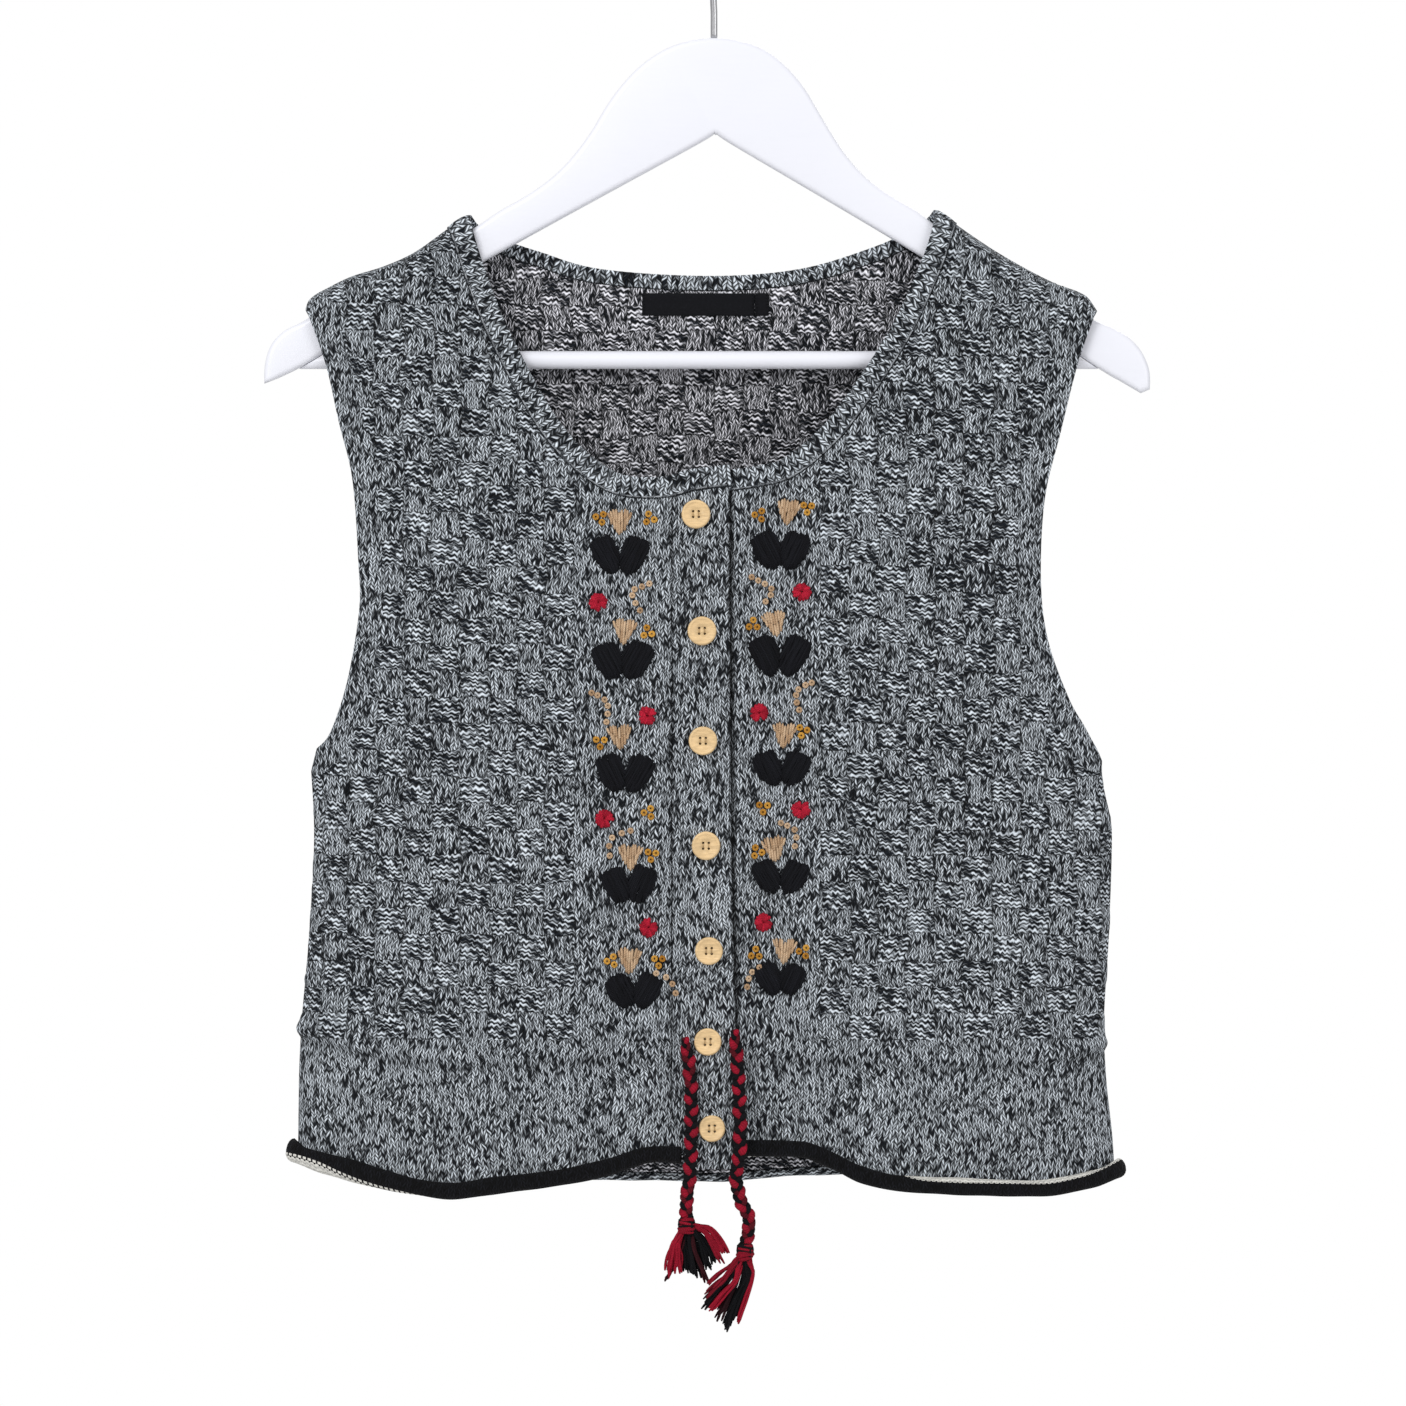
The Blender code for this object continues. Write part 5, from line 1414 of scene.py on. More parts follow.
def make_hem_roll(name, face, piece, start, end, material, node):
    """Hem that curls outwards, with its pale back showing where it opens."""
    c = np.linspace(start, end, round(abs(end - start) / HEM_STEP) + 1)
    count = len(c)
    z = hem_height(c, face)
    point = place(c, z, np.zeros(count), face, piece, 0.0)
    out = frame_on(c, z, face)[1]
    side = np.abs(c) >= far_length(c, z, face) - 0.5
    point[side] = place(c[side], z[side], np.full(side.sum(), SIDE), face, piece, 0.0)
    out[side] = np.sign(c[side])[:, None] * (1.0, 0.0, 0.0)
    out[:, 2] = 0.0
    out = unit(out)
    middle_radius = (ROLL_RADIUS + ROLL_HOLE) / 2.0
    heart = point + out * middle_radius
    x = point[:, 0]
    swell = 0.16 * np.sin(c / 9.3 + 1.0) + 0.1 * np.sin(c / 3.7)
    curl = {"left_hem": 5.0 * smoothstep(-x, 201.0, 210.0),
            "right_hem": 2.0 * smoothstep(x, 192.0, 201.0)}.get(name, 0.0)
    opened = 0.0
    if name == "left_hem":
        opened = smoothstep(x, -209.0, -192.0) * (1.0 - smoothstep(x, -180.0, -146.0))
    angles = np.radians(180.0 + ROLL_SWEEP * np.linspace(0.0, 1.0, ROLL_SIDES + 1))
    profile = [(ROLL_RADIUS, a) for a in angles] + [(ROLL_HOLE, a) for a in angles[::-1]]
    size = len(profile)
    rings = []
    pale = []
    marled = []
    maps = []
    length = 0.0
    for order, (radius, angle) in enumerate(profile):
        reach = radius + (swell if radius == ROLL_RADIUS else 0.0 * swell)
        rise = math.sin(angle)
        ring = heart + out * (reach * math.cos(angle))[:, None]
        ring[:, 2] += reach * rise - opened * max(-rise, 0.0) * 2.6 + curl * max(rise, 0.0)
        rings.append(ring)
        if order:
            step = radius * math.radians(ROLL_SWEEP) / ROLL_SIDES
            length += step if order != ROLL_SIDES + 1 else ROLL_RADIUS - ROLL_HOLE
        maps.append(np.column_stack((c / STITCH, np.full(count, length / ROW))))
        pale.append(pale_back(name, ring))
        marled.append(np.full(count, float(face == "back" and angle < math.radians(MARLED_TO))))
    faces = quads(count, size)
    for base in (0, (count - 1) * size):
        for i in range(ROLL_SIDES):
            ring = (base + i, base + i + 1, base + size - 2 - i, base + size - 1 - i)
            faces.append(ring if base == 0 else ring[::-1])
    if (end > start) == (face == "front"):
        faces = [f[::-1] for f in faces]
    bake = np.column_stack((np.repeat(np.linspace(0.0, 1.0, count), size),
                            np.tile(np.linspace(0.0, 1.0, size), count)))
    obj = make_piece(name, by_ring(rings), faces, material, node,
                     {"Stitch": by_ring(maps), "OFBake": bake},
                     {"pale": np.ravel(pale, "F"), "marled": np.ravel(marled, "F")})
    broad = middle_radius * math.radians(ROLL_SWEEP)
    note_cut(obj, broad, abs(end - start), broad * abs(end - start))


def pale_back(name, spots):
    """Distance past the line where the hem's off-white back begins, negative on the black side."""
    x, _, z = spots.T
    black = np.full(len(x), -6.0)
    if name == "back_hem":
        return black
    line = read(PALE_LINE[name.replace("_hem", "")], x)
    if name == "left_hem":
        return np.where(x < -105.0, line - z, black)
    return np.where(x > 60.0, (z - line) * 4.0, np.where(x < 46.0, line - z, black))


def make_button(number, x, z, radius, clearance, wood, thread):
    """Turned wooden button with a rim, a dished middle and four holes sewn with two parallel
    stitches.
    """
    c, z = across([x], z, "front"), np.array([z])
    back = on_cloth(c, z, "front", "left", np.full(1, BAND_WALL / 2.0 + clearance))[0]
    out = frame_on(c, z, "front")[1][0]
    up = unit(np.array((0.0, 0.0, 1.0)) - out * out[2])
    right = np.cross(out, up)
    if right[0] < 0.0:
        right = -right

    def spot(px, py, height):
        return back + right * px + up * py + out * height

    sides = BUTTON_SIDES
    inner = radius - BUTTON_RIM
    profile = (
        (inner, 0.0), (radius - 0.9, 0.0), (radius - 0.3, 0.35), (radius, 1.1), (radius, 1.9),
        (radius - 0.25, 2.6), (radius - 0.7, 2.95), (radius - 1.1, 2.9), (inner - 0.15, 2.55),
        (inner - 0.7, 2.35), (inner - 1.4, 2.25),
    )
    verts = [spot(px, py, height) for size, height in profile for px, py in circle(sides, size)]
    faces = quads(len(profile), sides)
    holes = [(HOLE_SPREAD * sx + px, HOLE_SPREAD * sy + py)
             for sx, sy in ((1, 1), (-1, 1), (-1, -1), (1, -1))
             for px, py in circle(HOLE_SIDES, HOLE_RADIUS)]
    edges = [(sides + h * HOLE_SIDES + k, sides + h * HOLE_SIDES + (k + 1) % HOLE_SIDES)
             for h in range(4) for k in range(HOLE_SIDES)]
    starts = []
    for level, (size, height) in ((0, profile[0]), (len(profile) - 1, profile[-1])):
        flat = [Vector(p) for p in circle(sides, size) + holes]
        made = delaunay_2d_cdt(flat, edges, [list(range(sides))], 1, 1e-6)
        own = [ids[0] for ids in made[3]]
        start = len(verts) - sides
        starts.append(start)
        verts += [spot(px, py, height) for px, py in holes]
        for cell in made[2]:
            ids = [own[i] for i in cell]
            owners = {(i - sides) // HOLE_SIDES if i >= sides else -1 for i in ids}
            if len(owners) == 1 and -1 not in owners:
                continue
            mapped = [level * sides + i if i < sides else start + i for i in ids]
            faces.append(tuple(mapped if level else mapped[::-1]))
    low, high = starts
    faces += [(low + b, low + a, high + a, high + b) for a, b in edges]
    make_piece(f"disc_{number}", verts, faces, wood, f"button_{number}")
    batch = Batch()
    for sx in (-1, 1):
        line = []
        for share in (-1.0, -0.86, -0.6, 0.0, 0.6, 0.86, 1.0):
            rise = 2.42 - (1.4 if abs(share) == 1.0 else 0.12 * abs(share))
            line.append(spot(sx * HOLE_SPREAD, HOLE_SPREAD * share, rise))
        batch.tube(line, 0.13, 6, 0.6)
    batch.piece(f"sewing_{number}", thread, "marled_knit")


def make_label(node, left, right, material, thread):
    """Woven label sewn flat to the inside of the back, bare."""
    columns = max(8, round((right - left) / 1.1))
    rows = LABEL_ROWS
    half = LABEL_WALL / 2.0
    base = -(WALL / 2.0 + GAP + half)
    spots = []
    for out in (half, -half):
        for i in range(columns + 1):
            for j in range(rows + 1):
                x = left + (right - left) * i / columns
                z = LABEL_BOTTOM + (LABEL_TOP - LABEL_BOTTOM) * j / rows
                if min(i, columns - i, j, rows - j):
                    height = base + out + 0.12 * math.sin(i * 0.55) * math.sin(j * 0.4)
                else:
                    height = base + out * 0.45
                spots.append((x, z, height))
    spots = np.array(spots)
    c = across(spots[:, 0], spots[:, 1], "back")
    tall = rows + 1
    count = (columns + 1) * tall
    faces = []
    for i in range(columns):
        for j in range(rows):
            a = i * tall + j
            faces.append((a, a + 1, a + tall + 1, a + tall))
            faces.append((count + a, count + a + tall, count + a + tall + 1, count + a + 1))
    ring = [i * tall for i in range(columns + 1)]
    ring += [columns * tall + j for j in range(1, rows + 1)]
    ring += [i * tall + rows for i in range(columns - 1, -1, -1)]
    ring += list(range(rows - 1, 0, -1))
    faces += [(a, b, count + b, count + a) for a, b in zip(ring, ring[1:] + ring[:1])]
    solid = on_cloth(c, spots[:, 1], "back", "", spots[:, 2])
    cloth = make_piece(f"woven_{node}", solid, faces, material, node,
                       {"Weave": spots[:, :2] - (left, LABEL_BOTTOM)})
    note_cut(cloth, right - left, LABEL_TOP - LABEL_BOTTOM,
             (right - left) * (LABEL_TOP - LABEL_BOTTOM))
    batch = Batch()
    for z in np.arange(LABEL_BOTTOM + 1.0, LABEL_TOP - 0.6, 1.5):
        for x in (left + 1.0, right - 1.0):
            spots = np.array(((x - 0.45, z), (x + 0.45, z + 0.35)))
            c = across(spots[:, 0], spots[:, 1], "back")
            stitch = on_cloth(c, spots[:, 1], "back", "", np.full(2, base - half - 0.05))
            batch.capsule(*stitch, 0.22, 5, 0.4)
    batch.piece(f"woven_{node}_stitches", thread, "black_woven")


def cord_line(side):
    """Centreline of a drawstring end."""
    points = []
    for x, z, out in CORD_ROUTE[side]:
        level = max(z, FOLD_BOTTOM)
        foot = middle(across([x], level, "front"), np.array([level]), "front")[0]
        points.append((x, foot[1] - out, z))
    return points


def make_plait(side, material):
    """Three strands of thick wool plaited flat."""
    line = spline(cord_line(side), 0.8)
    tangent = unit(np.gradient(line, axis=0))
    front = unit(np.array((0.0, -1.0, 0.0)) + tangent * tangent[:, 1:2])
    beside = unit(np.cross(front, tangent))
    length = lengths_along(line)
    batch = Batch()
    wobble = 0.35 * np.sin(length / 6.3 + (0.0 if side == "left" else 2.0))
    for strand in range(3):
        phase = math.tau * (length / PLAIT_PITCH + strand / 3.0) + wobble
        shift = PLAIT_WIDE * np.cos(phase) * (0.6 + 0.4 * smoothstep(length, 0.0, 9.0))
        rise = PLAIT_DEEP * np.sin(2.0 * phase)
        points = line + beside * shift[:, None] + front * rise[:, None]
        tone = np.full(len(line), 1.0 if strand == 0 else 0.0)
        if strand == 2:
            first, last = (24.0, 72.0) if side == "left" else (16.0, 80.0)
            tone = np.where((length < first) | (length > last), 0.3, 0.0)
        uneven = 0.12 * np.sin(length * 1.3 + 2.0 * strand) + 0.06 * np.sin(length * 3.1)
        thick = (1.95 if strand == 0 else 1.52) + 0.18 * np.sin(length * 1.9 + strand)
        thick *= 0.62 + 0.38 * smoothstep(length, 0.0, 9.0)
        batch.tube(points, thick, 10, tone * (0.84 + uneven), 0.86)
    plait = batch.piece(f"plait_{side}", material, "plaited_wool", f"drawstring_{side}")
    return plait, line, length[-1]


def make_tassel(side, material):
    """Knot at the end of the plait with its loose strands of red and black wool."""
    dice = random.Random(11 if side == "left" else 23)
    heart = np.array(cord_line(side)[-1]) - np.array((0.0, 0.0, 3.9))
    batch = Batch()
    for order in range(9):
        lean = math.radians(dice.uniform(-28.0, 28.0))
        turn = math.radians(dice.uniform(-18.0, 18.0))
        level = -3.2 + 6.4 * order / 8.0
        size = 3.5 * math.sqrt(max(1.0 - (level / 5.0) ** 2, 0.1)) + 0.5 * (level < -1.0)
        ring = circle(18, size)
        points = [heart + np.array((x, y, level + (x * math.tan(lean) + y * math.tan(turn)) * 0.6))
                  for x, y in ring + ring[:1]]
        batch.tube(points, 0.92, 7, 0.0 if order in (4, 6, 8) else 0.85)
    for angle, level in ((0.4, 1.2), (2.2, -1.4)):
        ring = circle(14, 1.0)
        points = [heart + 3.9 * np.array((x * math.cos(angle), x * math.sin(angle),
                                          z * 1.1 + level * 0.1)) for x, z in ring + ring[:1]]
        batch.tube(points, 0.85, 6, 0.0)
    for bend, tip, count, spread, red in TASSEL_BUNDLES[side]:
        for _ in range(count):
            jitter = np.array([dice.gauss(0.0, 1.0) for _ in range(3)])
            root = heart + np.array((dice.uniform(-1.9, 1.9) + bend[0] * 0.3,
                                     dice.uniform(-1.6, 1.6), -1.6 if bend[2] < -5.0 else 0.6))
            knee = heart + np.array(bend) + jitter * spread * 0.5
            foot = heart + np.array(tip) + jitter * spread
            foot[1] = heart[1] + max(min(foot[1] - heart[1], 5.0), -5.0)
            foot[2] += dice.uniform(-0.5, 3.5)
            sway = np.array([dice.gauss(0.0, 0.5) for _ in range(3)])
            line = spline((root, (root + knee) / 2.0 + sway * 0.5, knee,
                           (knee + foot) / 2.0 + sway, foot), 2.2)
            sizes = np.full(len(line), dice.uniform(0.6, 0.84))
            sizes[-1] *= 0.6
            batch.tube(line, sizes, 5, red)
    return batch.piece(f"loose_ends_{side}", material, "plaited_wool", f"tassel_{side}")


def make_hanger(material):
    """Flat wooden hanger with rounded edges."""
    outline = np.vstack((spline(HANGER_TOP, WOOD_STEP), spline(HANGER_UNDER, WOOD_STEP)))
    if area_within(outline) < 0.0:
        outline = outline[::-1]
    count = len(outline)
    inward = inward_from(outline)
    for _ in range(6):
        inward = unit((inward + np.roll(inward, 1, axis=0) + np.roll(inward, -1, axis=0)) / 3.0)
    verts = []
    for degrees in WOOD_ANGLES:
        angle = math.radians(degrees)
        drawn = outline + inward * WOOD_BEVEL * (1.0 - math.cos(angle))
        y = -(WOOD_HALF - WOOD_BEVEL) * np.sign(degrees) - WOOD_BEVEL * math.sin(angle)
        verts.extend((x, y, z) for x, z in drawn)
    faces = [f[::-1] for f in quads(len(WOOD_ANGLES), count)]
    flat = [Vector((x, z)) for x, _, z in verts[:count]]
    made = delaunay_2d_cdt(flat, [], [list(range(count))], 1, 1e-6)
    own = [ids[0] for ids in made[3]]
    for cell in made[2]:
        ids = [own[i] for i in cell]
        faces += [tuple(ids), tuple(len(verts) - count + i for i in ids[::-1])]
    make_piece("wooden_hanger", verts, faces, material, "hanger_body")


def bar_end(z, side):
    """x where the round bar ends at a height, a little off the underside of an arm."""
    rows = np.array(sorted((height, x) for x, height in HANGER_UNDER if x * side > 0.0))
    return np.interp(z, rows[:, 0], rows[:, 1]) - side * BAR_GAP


def make_bar(material):
    """Round bar whose slanted ends meet the undersides of the arms."""
    sides, count = 28, 61
    turn = math.tau * np.arange(sides) / sides
    sizes = np.full(count, BAR_RADIUS)
    sizes[[0, -1]] *= 0.93
    height = BAR_HEIGHT + BAR_RADIUS * np.sin(turn)
    low = bar_end(height, -1.0)
    high = bar_end(height, 1.0)
    share = np.linspace(0.0, 1.0, count)[:, None]
    share[[1, -2]] = ((0.002,), (0.998,))
    x = low + (high - low) * share
    y = sizes[:, None] * np.cos(turn)
    z = BAR_HEIGHT + sizes[:, None] * np.sin(turn)
    verts = np.stack((x, y, z), -1).reshape(-1, 3)
    make_piece("round_bar", verts, quads(count, sides) + end_faces(count, sides), material,
               "trouser_bar")


def make_hook(material):
    """Hook of round wire."""
    size = HOOK_RADIUS + WIRE_RADIUS
    low, high = HOOK_ARC
    turns = np.radians(np.arange(low, high + 1.0, 9.0))
    arc = [(size * math.cos(a), 0.0, size * math.sin(a) - HOOK_RADIUS) for a in turns]
    batch = Batch()
    batch.tube(spline([(x, 0.0, z) for x, z in HOOK_STEM] + arc, 1.6), WIRE_RADIUS, 16)
    batch.piece("wire_crook", material, "hook_steel", "hanger_hook")


def stroke(dice, start, end, low, high, bow=0.0):
    """A straight stitch between two spots, with its heights at the ends and the middle."""
    start = np.array(start) + (dice.gauss(0.0, 0.22), dice.gauss(0.0, 0.22))
    end = np.array(end) + (dice.gauss(0.0, 0.22), dice.gauss(0.0, 0.22))
    aside = np.array((-(end - start)[1], (end - start)[0])) * bow
    line = []
    for share in (0.0, 0.14, 0.38, 0.62, 0.86, 1.0):
        bulge = 1.0 - (2.0 * share - 1.0) ** 2
        spot = start + (end - start) * share + aside * bulge
        line.append((*spot, low + (high - low) * min(bulge * 1.5, 1.0)))
    return line


def leaf_threads(dice, x, z, wide, tall):
    """Two drop-shaped lobes that meet at the foot, worked in satin stitch."""
    threads = []
    for sign in (-1.0, 1.0):
        turn = math.radians(dice.uniform(16.0, 24.0)) * sign
        axis = np.array((math.sin(turn), math.cos(turn)))
        beside = np.array((axis[1], -axis[0]))
        long = tall * dice.uniform(0.96, 1.04)
        broad = wide * 0.43
        foot = np.array((x + sign * wide * 0.095, z - tall * 0.5))
        heart = foot + axis * long * 0.52
        for layer, spacing, lean in ((0, 0.86, 0.0), (1, 0.96, 0.14)):
            count = round(broad / spacing)
            for k in range(count + 1):
                u = 2.0 * k / count - 1.0
                top = long / 2.0 * (1.0 - abs(u) ** 3.0) ** 0.5 * dice.uniform(0.95, 1.05)
                low = long / 2.0 * (1.0 - abs(u) ** 2.1) ** 0.6 * dice.uniform(0.94, 1.04)
                skew = beside * (lean * sign)
                spot = heart + beside * (u * broad / 2.0) + axis * (0.1 * long * u * u)
                dome = 0.55 + 0.75 * (1.0 - u * u) + 0.25 * layer
                size = 0.92 if layer else 1.0
                threads.append((stroke(dice, spot - (axis + skew) * low * size,
                                       spot + (axis + skew) * top * size,
                                       0.1, dome, dice.uniform(-0.03, 0.03)), 1.35, dice.random()))
    return threads


def tulip_threads(dice, x, z, lean):
    """A small heart-shaped flower of upright stitches that narrows to its foot."""
    turn = math.radians(lean)
    threads = []
    for k in range(9):
        u = (k - 4) / 4.0
        top = 5.8 - 1.5 * (1.0 - min(abs(u) * 2.4, 1.0)) - 1.6 * abs(u) ** 3
        foot = -7.0 + 8.0 * abs(u) ** 1.6
        parts = ((foot, (foot + top) / 2.0 + 0.6), ((foot + top) / 2.0 - 0.6, top))
        if top - foot < 6.0:
            parts = ((foot, top),)
        for order, (low, high) in enumerate(parts):
            ends = []
            for level, size in ((low, 0.84), (high, 1.04)):
                px, pz = u * 5.5 * size, level
                ends.append((x + px * math.cos(turn) + pz * math.sin(turn),
                             z - px * math.sin(turn) + pz * math.cos(turn)))
            threads.append((stroke(dice, *ends, 0.05, 0.8 + 0.25 * order), 1.32, dice.random()))
    return threads


def rosette_threads(dice, x, z):
    """A little round flower of thick stitches laid outwards from its middle, open at one side."""
    threads = []
    opening = dice.uniform(0.0, math.tau)
    heart = np.array((x, z))
    for k in range(13):
        angle = opening + 0.5 + (math.tau - 1.0) * k / 12.0
        aim = np.array((math.cos(angle), math.sin(angle)))
        size = dice.uniform(3.9, 4.3)
        threads.append((stroke(dice, heart + aim * 0.9, heart + aim * size, 0.2, 1.15,
                               0.1), 2.2, dice.random()))
    return threads


def knot_thread(dice, x, z, size):
    """One coiled knot."""
    start = dice.uniform(0.0, math.tau)
    line = []
    for k in range(13):
        angle = start + math.tau * 1.15 * k / 12.0
        reach = size * (1.0 - 0.16 * k / 12.0)
        line.append((x + reach * math.cos(angle), z + reach * math.sin(angle),
                     0.35 + 0.3 * math.sin(angle * 0.5) ** 2 + 0.25 * k / 12.0))
    return (line, 1.45, dice.random())


def arc_spots(first, bend, last, count):
    """Spots spaced along a curve through a bend."""
    line = spline((first, bend, last), 0.5)
    return line[np.linspace(0, len(line) - 1, count).astype(int)]


def cluster_threads(dice, x, z):
    """Three knots close together."""
    turn = dice.uniform(0.0, math.tau)
    threads = []
    for k in range(3):
        angle = turn + math.tau * k / 3.0
        threads.append(knot_thread(dice, x + 2.3 * math.cos(angle),
                                   z + 2.3 * math.sin(angle), 1.15))
    return threads


def row_threads(dice, *row):
    """Knots in a curved row."""
    return [knot_thread(dice, x + dice.gauss(0.0, 0.15), z + dice.gauss(0.0, 0.15), 1.0)
            for x, z in arc_spots(row[:2], row[2:4], row[4:6], row[6])]


def embroider(side, radius):
    """Embroidery of one front, one mesh for each wool."""
    dice = random.Random(5 if side == "left" else 9)
    sewn = {"Black wool": [], "Tan wool": [], "Ochre wool": [], "Red wool": []}
    for wool, table, make_threads in (("Black wool", LEAVES, leaf_threads),
                                      ("Tan wool", TULIPS, tulip_threads),
                                      ("Red wool", ROSETTES, rosette_threads),
                                      ("Ochre wool", KNOT_CLUSTERS, cluster_threads),
                                      ("Tan wool", KNOT_ROWS, row_threads)):
        for row in table:
            if row[0] * SIGN[side] > 0.0:
                sewn[wool] += make_threads(dice, *row)
    for wool, threads in sewn.items():
        spots = np.array([spot for line, _, _ in threads for spot in line])
        c = across(spots[:, 0], spots[:, 1], "front")
        solid = on_cloth(c, spots[:, 1], "front", side, WALL / 2.0 + spots[:, 2])
        batch = Batch()
        start = 0
        for line, thick, tone in threads:
            sizes = np.full(len(line), radius * thick)
            sizes[[0, -1]] *= 0.7
            batch.tube(solid[start:start + len(line)], sizes, 6, tone)
            start += len(line)
        batch.piece(f"{side}_embroidery_{wool.split()[0].lower()}", material_of(wool),
                    "plaited_wool")


def linear(red, green, blue):
    """A colour given as 0 to 255 on a screen, in the values that shaders use."""
    values = [v / 255.0 for v in (red, green, blue)]
    return tuple(v / 12.92 if v <= 0.04045 else ((v + 0.055) / 1.055) ** 2.4 for v in values)


def knit_of(graph, stitch, pale, dark, groove, purl=0.0, basket=0.0, inside=0.0):
    """Colour and height of knit from a pale and a dark strand."""
    return graph.group("Marled stitches", marl_group, {
        "Stitch": stitch, "Basket": basket, "Purl": purl, "Inside": inside, "Groove": groove,
        "Pale": pale, "Dark": dark,
    })


def marl_material(name):
    """Cloth or rib of marled yarn."""
    colours = bpy.context.scene.vest_colours
    graph = new_material(name, 0.92, Specular_IOR_Level=0.25)
    rib = name == "Marled rib"
    basket, inside = (0.0, 0.0) if rib else (graph.mark("basket"), graph.mark("inside"))
    # Groove sets the painted shade between the stitch columns, deeper in the rib
    knit, height = knit_of(graph, graph.uv("Stitch"), colours.pale_yarn, colours.dark_yarn,
                           0.9 if rib else 0.6, 0.0, basket, inside)
    # Painted shadow from the shadow mark darkens the cloth; on the inside, painted light lifts the
    # shade and warms it a little
    lit = 1.0 - graph.mark("shadow") * 0.85
    inner = graph.mark("inside")
    painted_shade_and_light = graph.join(*(lit * (inner * extra + 1.0) for extra in (0.24, 0.14, 0.13)))
    graph.finish(graph.mix(1.0, knit, painted_shade_and_light, "MULTIPLY"), height,
                 bpy.context.scene.vest_sizes.stitch_depth, 0.9)


def hem_material(name):
    """Black stocking stitch whose off-white back begins at a two-colour row of stitches."""
    colours = bpy.context.scene.vest_colours
    graph = new_material(name, 0.95, Specular_IOR_Level=0.2)
    stitch = graph.uv("Stitch")
    # The black stitches carry painted shade in the grooves between their columns
    black, height = knit_of(graph, stitch, linear(22, 23, 28), colours.black_wool, 0.45)
    cream, _ = knit_of(graph, stitch, linear(240, 238, 230), linear(214, 212, 202), 0.0, 1.0)
    own, _ = knit_of(graph, stitch, colours.pale_yarn, colours.dark_yarn, 0.0, 1.0)
    past = graph.mark("pale")
    row = past.over(1.5)
    along = graph.split(stitch)[0] * (STITCH / 2.6)
    dash = (along + row * 0.5).fract().over(0.36) * (past / 1.5).fract().over(0.22)
    seam = graph.mix(dash, linear(14, 14, 18), linear(236, 234, 226))
    # Painted light: a plain, lighter cream mixed in brightens the hem's downward-facing back and
    # thins the stitches' painted shade
    plain = graph.mix(0.55, cream, linear(246, 245, 238))
    base = graph.mix(past.over(2.4), black, plain)
    near = past.over(0.0) * (1.0 - past.over(2.4))
    graph.finish(graph.mix(graph.mark("marled"), graph.mix(near, base, seam), own), height,
                 0.0007, 0.8)


def wool_material(name):
    """Wool thread. Each thread's mark picks a shade between two colours."""
    first, second, grain = WOOLS[name]
    graph = new_material(name, 0.95, Specular_IOR_Level=0.2)
    dye = graph.mix(graph.mark("tone"), linear(*first), linear(*second))
    fuzzy, height = graph.group("Wool fuzz", fuzz_group, {
        "Place": graph.place(), "Colour": dye, "Grain": grain,
    })
    along, around, _ = graph.split(graph.uv("Along"))
    ply = ((along * 0.62 + around) * (2.0 * math.tau)).sine()
    # Painted shade in the grooves between the plies, darker along the twist
    graph.finish(graph.shaded(fuzzy, ply * 0.16 + 0.84), ply * 0.6 + Num(graph, height) * 0.8,
                 0.00035, 0.8)


def wood_material(name):
    """Turned pale wood with fine straight grain."""
    graph = new_material(name, 0.48, Specular_IOR_Level=0.45)
    x, y, z = graph.split(graph.place())
    grain = graph.noise(graph.join(x * 260.0, y * 300.0, z * 1500.0), 1.0, 3.0, "3D")
    broad = graph.noise(graph.join(x * 90.0, y * 90.0, z * 260.0), 1.0, 2.0, "3D")
    pale = bpy.context.scene.vest_colours.button_wood
    share = (grain * 0.6 + broad * 0.4).soft(0.3, 0.7)
    graph.finish(graph.mix(share, [v * 0.72 for v in pale], pale), grain, 0.00012, 0.4)


def ribbon_material(name):
    """Black woven ribbon with fine cross ribs."""
    graph = new_material(name, 0.85, Specular_IOR_Level=0.15)
    u, v, _ = graph.split(graph.uv("Weave"))
    rib = (v * (math.tau / 0.55)).sine()
    warp = (u * (math.tau / 0.42)).sine()
    share = rib * 0.2 + warp * 0.12 + graph.noise(graph.uv("Weave"), 0.8, 3.0) * 0.5 + 0.1
    graph.finish(graph.mix(share, linear(8, 8, 11), linear(27, 28, 33)),
                 rib * 0.6 + warp * 0.3, 0.00012, 0.7)


def paint_material(name):
    """White satin paint on wood, a little uneven."""
    graph = new_material(name, 0.34, Specular_IOR_Level=0.5)
    spot = graph.place()
    x, y, z = graph.split(spot)
    cloud = graph.noise(spot, 14.0, 3.0, "3D")
    grain = graph.noise(graph.join(x * 60.0, y * 700.0, z * 700.0), 1.0, 2.0, "3D")
    white = bpy.context.scene.vest_colours.hanger_paint
    graph.finish(graph.mix(cloud * 0.7 + grain * 0.3, [v * 0.93 for v in white], white),
                 cloud + grain * 0.5, 0.00012, 0.35)


def wire_material(name):
    """Drawn steel wire, slightly dulled."""
    graph = new_material(name, 0.3, Metallic=1.0)
    spot = graph.place()
    x, y, z = graph.split(spot)
    lines = graph.noise(graph.join(x * 900.0, y * 900.0, z * 120.0), 1.0, 3.0, "3D")
    dull = graph.noise(spot, 90.0, 2.0, "3D")
    graph.finish(graph.mix(lines * 0.6 + dull * 0.4, (0.30, 0.30, 0.31), (0.62, 0.62, 0.63)),
                 lines, 0.00005, 0.4)


def floor_material(name):
    graph = new_material(name, 0.9)
    cloud = graph.noise(graph.place(), 3.0, 3.0, "3D")
    graph.finish(graph.mix(cloud, (0.80, 0.80, 0.80), (0.86, 0.86, 0.86)))


